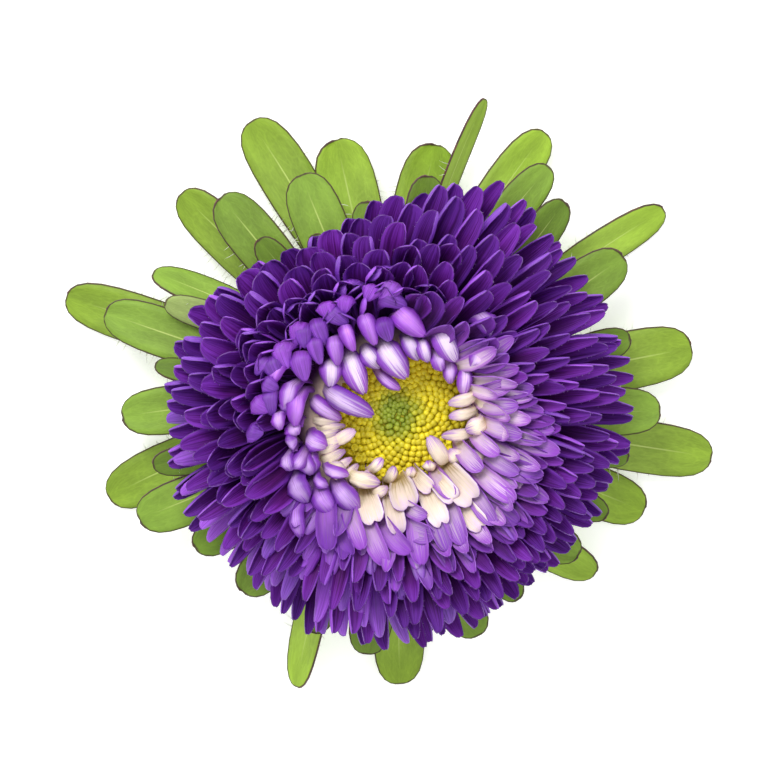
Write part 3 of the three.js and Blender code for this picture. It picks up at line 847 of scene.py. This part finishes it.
FINGERS = (
    (11.9, 5.5, 6.8, 3.8, 27, 26, 2.1), (12, 2.8, 6.9, 1.8, 26, 25.5, 1.9),
    (11.6, -0.7, 5.8, -1.4, 26, 25, 1.9), (13, 1.5, 9.4, -0.3, 29, 27, 3),
    (6.8, -6.1, 3.8, -0.6, 27, 27.5, 2.6), (9.3, -5.1, 6.9, -2.9, 27, 26, 2.5),
    (12.1, -5.5, 9.9, -2.7, 29, 27, 2.8), (4.2, -7, 3.9, -4.8, 25, 25, 2.2),
    (0.9, -8.3, 1.8, -6, 24, 25, 1.7), (-5.2, -7.2, -3, -4.4, 25, 26, 1.8),
    (-11.4, -2.9, -7.3, 0.1, 25, 26, 2.1), (-8.9, -6.4, -3.3, -8.4, 29, 27, 2.6),
    (-5.1, -9.5, -2.1, -8.7, 28, 27, 1.7), (-12.2, -5.6, -8.6, -6.3, 29, 28, 3),
    (-2.6, -9, -1.3, -5.8, 24, 25, 1.7), (-14.4, 3.4, -10.2, 2.4, 27, 24, 1.6),
    (-14.8, 1.8, -9.6, 1, 27, 24.5, 1.4), (-14.2, 0.4, -8.6, 0.2, 27, 24, 1.3),
    (-14.4, -0.9, -9.2, -0.6, 27.5, 24.5, 1.5), (-14, -2.2, -8.4, -1.4, 27, 24.5, 1.7),
    (-13.8, -3.4, -9.4, -2.4, 27.5, 25, 1.4), (-13.2, -4.8, -8.6, -3.4, 28, 25, 1.8),
    (-11.6, -6.6, -7.6, -4.6, 27, 25, 1.5), (-9.8, -8, -6.6, -5.6, 27, 24.5, 1.6),
    (-7.6, -9, -5, -6.4, 26.5, 24.5, 1.5),
)
LAID_OPEN = (
    (6.6, -6.2, 10.7, -10.1, 28, 31.8, 4.9), (3.2, -8.8, 5.9, -13.9, 28, 31.8, 3.6),
    (-0.5, -8.6, 0.6, -11.4, 27, 30.3, 4.6), (-2.3, -10.1, -1, -15.1, 28, 31.8, 3.2),
    (-6, -10.1, -4.7, -13.5, 28, 31.3, 4), (8.4, -10.6, 12.1, -14.4, 30, 32.2, 3.7),
    (5, -7.6, 7.8, -10.1, 29, 30.8, 3.3), (2, -7.4, 4.3, -8.9, 27, 28.8, 2.8),
)
INNER_ROOT = 12 # the furthest from the axis that an inner petal is rooted
INNER_BROAD = 1.05
INNER_FOLD = 0.32
INNER_ROLL = 0.25
INNER_RIB = 0.07
BEND_BELOW = 4 # how far below its crest an inner petal first bends
# How far out that bend stands, how far the spine is pulled up over the crest, and the hook and
# the pinch of the tip
LAID = {"out": -0.6, "over": 0.5, "hook": -0.4, "pinch": 0}
CURLED = {"out": 1.4, "over": 3, "hook": 0.5, "pinch": 0.15}


def inner_petal(bunch, placed, looks, stance, curl, pale, point=0.1):
    """One inner petal: up from its root, over its crest and down to its tip, or laid open."""
    start, end, (crest, tip, width) = placed[:2], placed[2:4], placed[4:7]
    azimuth, radius = math.atan2(start[1], start[0]), math.hypot(*start)
    spine = [
        polar(azimuth, min(radius, INNER_ROOT), SEAT),
        polar(azimuth, radius + stance["out"], crest - BEND_BELOW),
        np.array([*start, crest + stance["over"]]),
        np.array([*end, tip]),
    ]
    heading = unit(np.array([end[0] - start[0], end[1] - start[1], 0]))
    across = np.cross((0, 0, 1), heading if stance is LAID else -heading)
    half_width = width / 2 * INNER_BROAD * curl / math.sin(min(curl, math.pi / 2))
    corners = laid_blade(
        bunch.shape, spine, across, half_width, petal_curl(curl, stance["pinch"]),
        fold=spread(looks, INNER_FOLD), hook=stance["hook"], roll=spread(looks, INNER_ROLL),
        rib=INNER_RIB, point=point)
    bunch.add(corners, tone=next(looks), pale=pale)


# Disc

GOLDEN_ANGLE = math.pi * (3 - math.sqrt(5))
GREEN_RADIUS = 2.9
BUD = ((0.5, 0), (0.6, 0.3), (0.56, 0.56), (0.4, 0.78), (0.2, 0.88), (0, 0.9))
# An open floret, low at its middle and with five lobes, and the azimuths where such ones stand
OPEN_FLORET = ((0.3, 0), (0.34, 0.8), (0.5, 1.15), (0.78, 1.4), (0.5, 1.28), (0.26, 1.02),
               (0, 0.94))
OPEN_FLORETS = 20
OPEN_ROUND = (-165, -20)
OPEN_RADIUS = 9.1


def starred(corners):
    """Draws every other corner of the mouth in, which leaves five lobes."""
    turn = np.arctan2(corners[:, 1], corners[:, 0])
    waist = 1 - 0.24 * (1 - np.cos(5 * turn)) * smooth(corners[:, 2], 1, 1.3)
    corners[:, :2] *= waist[:, None]


def disc_surface(radius):
    return DISC_TOP - (DISC_TOP - DISC_RIM) * (radius / DISC_RADIUS) ** 2


def disc_places(sizes):
    """Where the disc florets stand: a spiral whose middle lies a little off the axis."""
    for n in range(sizes.disc_florets):
        radius = DISC_RADIUS * ((n + 0.5) / sizes.disc_florets) ** 0.6
        off = (1 - radius / DISC_RADIUS) * np.array([sizes.disc_off_x, sizes.disc_off_y, 0])
        place = polar(n * GOLDEN_ANGLE, radius, 0) + off
        place[2] = disc_surface(math.hypot(place[0], place[1]))
        yield radius, place


def set_upright(corners, place, out, size, tilt):
    """A copy of a small shape at a place, tilted outwards."""
    axis = np.cross((0, 0, 1), polar(out, 1, 0))
    turned = turned_about(corners * size, np.tile(axis, (len(corners), 1)),
                          np.full(len(corners), tilt))
    return turned + place


# Bracts, as the frame has them: azimuth, reach, width, height of the tip, roll, and how far the
# tip is swept sideways

BRACT_WHORLS = {
    "bracts_lower": {
        "root": (6.6, 6.1), "shoulder": (15, 6.4), "slot": "bract_light",
        "bracts": (
            (162, 56, 8.4, 0.3, 0, 0), (135, 48.7, 8, 3.4, -8, 0), (110, 50.8, 9, 0.3, 4, 6.2),
            (102.5, 44, 9.8, 3.4, 0, 0), (87, 42.2, 9.2, 1.6, 6, -4.4),
            (84, 50.8, 4.4, 5.4, 50, -9), (71, 49.3, 7.8, 2.4, 0, -8.7),
            (40, 53.5, 6.8, 0.3, 10, -4.7), (10, 49.2, 9.8, 3.8, -6, 0), (-12, 53.3, 9, 2, 4, 1),
            (-27, 45.8, 8.8, 0.3, 0, 1.5), (-55, 43, 8, 3.2, 20, 10.4),
            (-89, 48.5, 8.8, 0.3, 0, 0), (-118, 49.8, 6.4, 4.4, 46, 7.9),
            (-171, 48.9, 8.8, 0.3, -4, 8.6),
        ),
    },
    "bracts_middle": {
        "root": (10.9, 8.6), "shoulder": (18, 10), "arch": 11, "slot": "bract_mid",
        "bracts": (
            (161, 49.4, 8, 8.6, 6, 0), (141, 44.5, 6, 8.2, 46, 7), (147, 41, 5, 11.8, 180, 5),
            (129, 44.6, 8.2, 9.4, 0, 0), (112, 41, 8.6, 8.8, -6, 0), (69, 45.2, 6.6, 9.2, 8, -8.7),
            (34, 43.8, 8.2, 9, 0, 0), (-1, 42.6, 8, 9.4, -8, 0), (-51, 37.4, 7.2, 10, 6, 7.8),
            (-82, 39.4, 7.6, 9, 0, 8), (-97, 41.2, 7.4, 9, 4, 0), (-130, 39, 7.6, 9.8, 0, 0),
            (-157, 45.4, 8.6, 8.8, -6, 0), (173, 43.9, 8, 9, 6, 6.2),
        ),
    },
    "bracts_upper": {
        "root": (14.8, 11.4), "shoulder": (20, 13.3), "arch": 13.8, "slot": "bract_dark",
        "bracts": (
            (168, 39.7, 4.2, 12.6, 20, 0), (149, 34.4, 4.6, 12.8, 0, 0),
            (128, 36, 5.2, 12.8, 0, 0), (115, 32, 4.6, 12.8, 8, 0), (99, 34.6, 5.6, 12.6, 0, 0),
            (83, 38.5, 6.6, 12.4, 0, 0), (68, 35.4, 5, 12.8, -8, 0), (52, 43, 6.2, 12.4, 4, 0),
            (18, 39, 5.8, 12.4, 0, 0), (-12, 38, 5, 12.6, 8, 0), (-27, 38, 5.2, 12.2, 0, 0),
            (-58, 36.8, 5.4, 12.6, -6, 0), (-83, 37, 5, 12.2, 0, 0), (-111, 38.7, 5.4, 12.6, 4, 0),
            (-146, 39.5, 6.8, 12, 0, 0), (-168, 40.3, 5.4, 12.2, -8, 0),
        ),
    },
}
BRACTS_REST = 0.25 # no corner of a bract is lower


def laid_bract(flat, whorl, one, looks, sizes):
    """The corners of one bract and their distances from its margin."""
    azimuth, reach, width, tip, roll, sweep = one
    azimuth = math.radians(azimuth)
    across = np.array([-math.sin(azimuth), math.cos(azimuth), 0])
    spine = [
        polar(azimuth, *whorl["root"]),
        polar(azimuth, *whorl["shoulder"]),
        polar(azimuth, 0.64 * reach, whorl.get("arch", tip)) + 0.25 * sweep * across,
        polar(azimuth, reach, tip) + sweep * across,
    ]
    corners = laid_blade(
        flat, spine, across, width / 2, lambda at: sizes.bract_curl * (1.5 - smooth(at, 0.1, 0.8)),
        hook=spread(looks, 0.5), roll=math.radians(roll) + spread(looks, 0.12),
        ripple=0.05 * width * next(looks), phase=FULL_TURN * next(looks))
    length = reach - whorl["root"][0]
    from_side = width / 2 * flat.share * (1 - np.abs(flat.side))
    edge = np.minimum(from_side, length * (1 - flat.along) * 0.9)
    return corners, edge


# Sizes and colours that a user would change

def measure(name, description, default, low, high, **settings):
    kind = IntProperty if isinstance(default, int) else FloatProperty
    return kind(name=name, description=description, default=default, min=low, max=high,
                **settings)


def tint(name, description, *shade):
    return FloatVectorProperty(name=name, description=description, subtype="COLOR", size=4,
                               min=0, max=1, default=linear(*shade))


class AsterSizes(bpy.types.PropertyGroup):
    petal_thickness: measure("Petal Thickness", "Wall of a petal, in mm", 0.15, 0.1, 0.6)
    petal_curl: measure("Petal Curl", "Half the angle of the arc that a petal is rolled to",
                        1.4, 0.2, 1.8, subtype="ANGLE")
    petal_hook: measure("Petal Hook", "How far a petal's tip turns up, in mm", 1.5, 0, 2.5)
    petal_fold: measure("Petal Fold", "How much more one side of a petal may be rolled in",
                        0.72, 0, 0.9)
    petal_roll: measure("Petal Roll", "How far petals are turned about their own length",
                        0.4, 0, 1, subtype="ANGLE")
    upright: measure("Upright", "How upright the petals stand on the upright side", 0.9, 0, 1)
    stray: measure("Stray", "How far the tips stand out of their rows, in mm", 1.3, 0, 2)
    disc_florets: measure("Disc Florets", "How many florets the disc has", 430, 50, 800)
    disc_off_x: measure("Disc Middle X", "How far the disc's middle lies off the axis, in mm",
                        -1.2, -3, 3)
    disc_off_y: measure("Disc Middle Y", "How far the disc's middle lies off the axis, in mm",
                        2.2, -4, 4)
    bract_thickness: measure("Bract Thickness", "Wall of a bract, in mm", 0.3, 0.2, 0.8)
    bract_curl: measure("Bract Curl", "Half the angle of the arc that a bract is cupped to",
                        0.42, 0, 1.2, subtype="ANGLE")
    hairs_per_bract: measure("Hairs per Bract", "How many hairs stand on each of its margins",
                             24, 0, 40)
    hairs_per_petal: measure("Hairs per Petal", "How many hairs stand on each side of its tip",
                             3, 0, 10)


class AsterColours(bpy.types.PropertyGroup):
    violet: tint("Violet", "Outer face of the violet petals", 120, 50, 168)
    # painted shade: deep violet, the middle of the violet inner face, is partly its own colour and
    # partly painted shade of its trough
    deep_violet: tint("Deep Violet", "Inner face of the violet petals", 91, 24, 124)
    lilac: tint("Lilac", "Margins of the inner petals", 124, 54, 170)
    cream: tint("Cream", "Inner face of the innermost petals", 240, 224, 200)
    yellow: tint("Yellow", "Crowns of the disc florets", 240, 224, 52)
    fresh_green: tint("Fresh Green", "Lower bracts", 148, 176, 70)
    leaf_green: tint("Leaf Green", "Upper bracts", 110, 140, 44)


def settings(context):
    return context.scene.aster_sizes, context.scene.aster_colours


STEM_PROFILE = ((2.1, 1), (2.3, 1.3), (2.25, 3), (2.35, 4.6), (3.4, 5.8), (7.4, 7.6), (11.4, 10),
                (15.2, 12.6), (17, 14.2), (17.2, 15), (0, 15))


class ASTER_OT_stem(bpy.types.Operator):
    """Model the cut stem and the receptacle that carries the head"""
    bl_idname = "aster.stem"
    bl_label = "Stem and Receptacle"

    def execute(self, context):
        _, colours = settings(context)
        stem = turned_piece("stem", STEM_PROFILE, 36)
        stem.data.materials.append(
            ground_finish("stem_green", (112, 142, 70), colours.fresh_green, 900.0))
        select_only(stem)
        bpy.ops.object.shade_smooth_by_angle(angle=math.radians(40))
        dress(stem, "stem", "stem_and_receptacle")
        return {"FINISHED"}


BRACT_HAIRS = {"span": (0.3, 0.85), "length": (0.7, 2.4), "thickness": 0.06}
PETAL_HAIRS = {"span": (0.84, 1), "length": (0.2, 0.45), "thickness": 0.02}


class ASTER_OT_bracts(bpy.types.Operator):
    """Model the three whorls of bracts and the hairs on their margins"""
    bl_idname = "aster.bracts"
    bl_label = "Bracts"

    def execute(self, context):
        sizes, colours = settings(context)
        flat = FlatBlade(BRACT_ROWS, 6)
        light, dark = colours.fresh_green, colours.leaf_green
        under = bract_finish("bract_underside", (164, 176, 124), (160, 178, 112), (158, 180, 100),
                             underside=True)
        rim = ground_finish("bract_margin", (58, 28, 36), (96, 52, 48), 700.0)
        faces = (bract_finish("bract_light", (160, 186, 76), light, (136, 166, 50)),
                 bract_finish("bract_mid", light, (126, 156, 60), (118, 149, 52)),
                 bract_finish("bract_dark", dark, dark, (102, 132, 40)))
        hairs = Bunch(RoundShape(HAIR, 3))
        for k, (name, whorl) in enumerate(BRACT_WHORLS.items()):
            looks = draws_from(SEED + 50 + k)
            bunch = Bunch(flat)
            for one in whorl["bracts"]:
                corners, edge = laid_bract(flat, whorl, one, looks, sizes)
                bunch.add(corners, tone=next(looks), edge=edge)
                add_margin_hairs(hairs, flat, corners, looks, sizes.hairs_per_bract, **BRACT_HAIRS)
            piece = bunch.piece(name.replace("bracts", "bract_whorl"), (faces[k], under, rim),
                                sizes.bract_thickness, keep_above=BRACTS_REST)
            dress(piece, whorl["slot"], name)
        pale = ground_finish("bract_hair", (214, 220, 196), (236, 238, 222), 2000.0)
        dress(hairs.piece("bract_hairs", (pale,)), "bract_light")
        return {"FINISHED"}


class ASTER_OT_violet_petals(bpy.types.Operator):
    """Model the ten rows of violet ray florets, the curled ones on the crest and their hairs"""
    bl_idname = "aster.violet_petals"
    bl_label = "Violet Petals"

    def execute(self, context):
        sizes, colours = settings(context)
        flat = FlatBlade(PETAL_ROWS, 6)
        # painted shade: the inner face's dark root colour, partly painted shade, runs almost to
        # its tip
        finishes = (petal_finish("violet_petal_inside", colours, 0.5, 0.12, root_to=0.96),
                    petal_finish("violet_petal_outside", colours, 0.4, 0.35),
                    rim_finish("violet_petal_rim", (80, 28, 116), (136, 80, 180)))
        hairs, looks = Bunch(RoundShape(HAIR, 3)), draws_from(SEED + 30)
        for k, (name, (count, rows)) in enumerate(VIOLET_GROUPS.items()):
            draw = draws_from(SEED + k)
            bunch = Bunch(flat)
            for r, row in enumerate(rows):
                add_row(bunch, row, count, r / 2, draw, sizes)
            if "crest" in name:
                for arc in UPRIGHT_ARCS:
                    add_arc(bunch, arc, draw, sizes)
                for *placed, pale in CURLED_ON_CREST:
                    if pale < LILAC_FROM:
                        inner_petal(bunch, placed, draw, CURLED, 1.05, pale, point=0.3)
            for corners in bunch.corners:
                add_margin_hairs(hairs, flat, corners, looks, sizes.hairs_per_petal, **PETAL_HAIRS)
            piece = bunch.piece(name.replace("ray_florets", "petals"), finishes,
                                sizes.petal_thickness)
            dress(piece, "petal_violet", name)
        mauve = ground_finish("petal_hair", (150, 112, 186), (190, 160, 214), 2000.0)
        dress(hairs.piece("petal_hairs", (mauve,)), "petal_violet")
        return {"FINISHED"}


class ASTER_OT_floret_tubes(bpy.types.Operator):
    """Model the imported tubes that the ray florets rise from, deep between the petals"""
    bl_idname = "aster.floret_tubes"
    bl_label = "Packed Tubes"

    def execute(self, context):
        tubes = turned_piece("floret_tubes", TUBES_PROFILE, 2 * TUBES_AROUND)
        corners = np.array([vertex.co[:] for vertex in tubes.data.vertices])
        turn = np.arctan2(corners[:, 1], corners[:, 0])
        furrow = 1 - 0.06 * (np.round(turn * TUBES_AROUND / math.pi) % 2)
        corners[:, :2] *= furrow[:, None]
        tubes.data.vertices.foreach_set("co", (leaned(corners / MM) * MM).ravel())
        tubes.data.materials.append(core_finish("packed_tubes", (224, 200, 178), (72, 28, 80)))
        shade_smooth(tubes)
        dress(tubes, "petal_violet")
        return {"FINISHED"}


class ASTER_OT_inner_petals(bpy.types.Operator):
    """Model the lilac petals inside the crest and the cream ones round the disc"""
    bl_idname = "aster.inner_petals"
    bl_label = "Inner Petals"

    def execute(self, context):
        sizes, colours = settings(context)
        flat, blunt = FlatBlade(PETAL_ROWS, 8, notch=0.012), FlatBlade(BLUNT_ROWS, 8, notch=0.035)
        rim = rim_finish("lilac_petal_rim", (118, 54, 168), (170, 112, 206))
        lilac = (petal_finish("lilac_petal_inside", colours, 0.5, 0.2, root_to=0.75, edge_from=0.4,
                              tip_from=0.74, fray=1.0),
                 petal_finish("lilac_petal_outside", colours, 0.34, 0.4, streaks=0.3,
                              edge_from=0.14, tip_from=0.84, fray=1.1), rim)
        cream = (*(petal_finish(name, colours, roughness, gloss, 0.16, edge_from=0.6, fray=0.9)
                   for name, roughness, gloss in (("cream_petal_inside", 0.5, 0.2),
                                                  ("cream_petal_outside", 0.4, 0.3))), rim)
        inner, fingers, laid_open = Bunch(flat), Bunch(flat), Bunch(blunt)
        draw = draws_from(SEED + len(VIOLET_GROUPS))
        for *arc, pale in LILAC_ARCS:
            add_arc(inner, arc, draw, sizes, pale, openness=1)
        looks = draws_from(SEED + 200)
        for *placed, pale in CURLED_OVER:
            inner_petal(inner, placed, looks, CURLED, 0.95, pale, point=0.22)
        for *placed, pale in CURLED_ON_CREST:
            if pale >= LILAC_FROM:
                inner_petal(inner, placed, looks, CURLED, 1.05, pale, point=0.3)
        for *placed, pale in LEANING_OUT:
            inner_petal(inner, placed, looks, LAID, 1, pale)
        for placed in FINGERS:
            inner_petal(fingers, placed, looks, CURLED, 1.1, 0.4 + spread(looks, 0.3))
        for placed in LAID_OPEN:
            inner_petal(laid_open, placed, looks, LAID, 0.5, 0.7 + spread(looks, 0.3))
        for name, bunch, finishes, slot, *node in (
                ("lilac_petals", inner, lilac, "petal_lilac", "lilac_ray_florets"),
                ("cream_petals", fingers, cream, "petal_cream", "cream_ray_florets"),
                ("open_petals", laid_open, cream, "petal_cream")):
            dress(bunch.piece(name, finishes, sizes.petal_thickness), slot, *node)
        return {"FINISHED"}


class ASTER_OT_disc(bpy.types.Operator):
    """Model the disc: its ground, its yellow florets and the green buds in its middle"""
    bl_idname = "aster.disc"
    bl_label = "Disc"

    def execute(self, context):
        sizes, colours = settings(context)
        rings = [(DISC_RADIUS + 1.2, SEAT), (DISC_RADIUS + 1.2, DISC_RIM - 0.4)]
        rings += [(r, disc_surface(r) + 0.03 * r) for r in (10, 8, 6, 4, 2)]
        ground = turned_piece("disc_ground", (*rings, (0, DISC_TOP)), 48)
        ground.data.materials.append(
            ground_finish("disc_ground", (196, 178, 14), (216, 200, 24), 1500.0))
        shade_smooth(ground)
        dress(ground, "disc_yellow")
        bud, star = RoundShape(BUD, 8), RoundShape(OPEN_FLORET, 10, starred)
        yellow, green, stars = Bunch(bud), Bunch(bud), Bunch(star)
        looks = draws_from(SEED + 300)
        for radius, place in disc_places(sizes):
            place += (spread(looks, 0.16), spread(looks, 0.16), spread(looks, 0.12))
            out = math.atan2(place[1], place[0])
            size = 1.12 * (radius / DISC_RADIUS) ** 0.16 + spread(looks, 0.1)
            tilt = 0.5 * radius / DISC_RADIUS + spread(looks, 0.1)
            corners = set_upright(bud.corners, place, out, size, tilt)
            greenness = smooth(radius + spread(looks, 0.5), 5.4, 1.6)
            bunch = green if radius < GREEN_RADIUS else yellow
            bunch.add(corners, tone=next(looks), green=greenness)
        for n in range(OPEN_FLORETS):
            out = math.radians(np.interp(n + next(looks), (0, OPEN_FLORETS), OPEN_ROUND))
            radius = OPEN_RADIUS + spread(looks, 0.8)
            corners = set_upright(star.corners, polar(out, radius, disc_surface(radius) + 0.5),
                                  out, 0.95 + spread(looks, 0.2), spread(looks, 0.4))
            stars.add(corners, tone=next(looks), green=0)
        # painted shade: the first colour is the painted shade low down between the disc florets
        crowns = rounded_finish("disc_yellow", (224, 206, 14), colours.yellow, 0.42)
        dress(yellow.piece("disc_tubes", (crowns,)), "disc_yellow", "disc_florets")
        dress(green.piece("green_buds", (crowns,)), "disc_green", "disc_buds")
        dress(stars.piece("open_disc_florets", (crowns,)), "disc_yellow")
        return {"FINISHED"}


# The light and the camera, in metres. The camera looks back along its axis to its target.
FLOOR_SIZE = 3
FLOOR_BELOW = 0.0002
SOFTBOX_PLACE = Vector((-0.14, 0.32, 0.43))
SOFTBOX_SIZE = 0.2
SOFTBOX_POWER = 1.7
CAMERA_AXIS = Vector((-0.05, 0.19, 0.98))
CAMERA_TARGET = Vector((-2.7, 6.2, 20)) * MM
CAMERA_DISTANCE = 0.504
CAMERA_LENS = 150
CAMERA_SENSOR = 36


class ASTER_OT_stage(bpy.types.Operator):
    """Set the pale floor, the soft light and the camera"""
    bl_idname = "aster.stage"
    bl_label = "Stage"

    def execute(self, context):
        scene = context.scene
        deselect()
        bpy.ops.mesh.primitive_plane_add(size=FLOOR_SIZE, location=(0, 0, 0))
        floor = bpy.context.object
        floor.name = "floor"
        bpy.ops.object.mode_set(mode="EDIT")
        bpy.ops.mesh.select_all(action="SELECT")
        bpy.ops.transform.translate(value=(0, 0, -FLOOR_BELOW))
        bpy.ops.object.mode_set(mode="OBJECT")
        floor.data.materials.append(Finish("pale_floor").set(
            Base_Color=(0.92, 0.92, 0.92, 1), Roughness=0.9, Emission_Strength=0.35,
            Emission_Color=(1, 1, 1, 1)))
        floor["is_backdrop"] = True
        scene.world = bpy.data.worlds.new("studio")
        scene.world.use_nodes = True
        sky = scene.world.node_tree.nodes["Background"]
        sky.inputs["Color"].default_value = (1, 1, 1, 1)
        sky.inputs["Strength"].default_value = 1.0
        self.softbox(scene)
        self.camera(scene)
        scene.view_settings.view_transform = "Standard"
        return {"FINISHED"}

    @staticmethod
    def softbox(scene):
        lamp = bpy.data.lights.new("key_softbox", "AREA")
        lamp.size = SOFTBOX_SIZE
        lamp.energy = SOFTBOX_POWER
        softbox = bpy.data.objects.new("key_softbox", lamp)
        softbox.location = SOFTBOX_PLACE
        softbox.rotation_euler = SOFTBOX_PLACE.to_track_quat("Z", "Y").to_euler()
        scene.collection.objects.link(softbox)

    @staticmethod
    def camera(scene):
        lens = bpy.data.cameras.new("camera")
        lens.lens = CAMERA_LENS
        lens.sensor_width = CAMERA_SENSOR
        camera = bpy.data.objects.new("camera", lens)
        scene.collection.objects.link(camera)
        backward = CAMERA_AXIS.normalized()
        right = Vector((0, 1, 0)).cross(backward).normalized()
        turn = Matrix((right, backward.cross(right), backward)).transposed().to_4x4()
        place = CAMERA_TARGET + backward * CAMERA_DISTANCE
        camera.matrix_world = Matrix.Translation(place) @ turn
        scene.camera = camera


class ASTER_PT_panel(bpy.types.Panel):
    bl_label = "China Aster"
    bl_space_type = "VIEW_3D"
    bl_region_type = "UI"
    bl_category = "Aster"

    def draw(self, context):
        for group in settings(context):
            for name in group.__annotations__:
                self.layout.prop(group, name)
        for operator in OPERATORS:
            self.layout.operator(operator.bl_idname)


OPERATORS = (ASTER_OT_stem, ASTER_OT_bracts, ASTER_OT_floret_tubes, ASTER_OT_violet_petals,
             ASTER_OT_inner_petals, ASTER_OT_disc, ASTER_OT_stage)
CLASSES = (AsterSizes, AsterColours, *OPERATORS, ASTER_PT_panel)


def register():
    for each in CLASSES:
        bpy.utils.register_class(each)
    bpy.types.Scene.aster_sizes = PointerProperty(type=AsterSizes)
    bpy.types.Scene.aster_colours = PointerProperty(type=AsterColours)


def unregister():
    del bpy.types.Scene.aster_colours
    del bpy.types.Scene.aster_sizes
    for each in reversed(CLASSES):
        bpy.utils.unregister_class(each)


def main():
    register()
    bpy.ops.aster.stem()
    bpy.ops.aster.bracts()
    bpy.ops.aster.floret_tubes()
    bpy.ops.aster.violet_petals()
    bpy.ops.aster.inner_petals()
    bpy.ops.aster.disc()
    bpy.ops.aster.stage()
    sizes = {"frame": FRAME_BOUNDS, "dressed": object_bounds()}
    plain = {key: [[float(x) for x in corner] for corner in box] for key, box in sizes.items()}


if __name__ == "__main__":
    main()
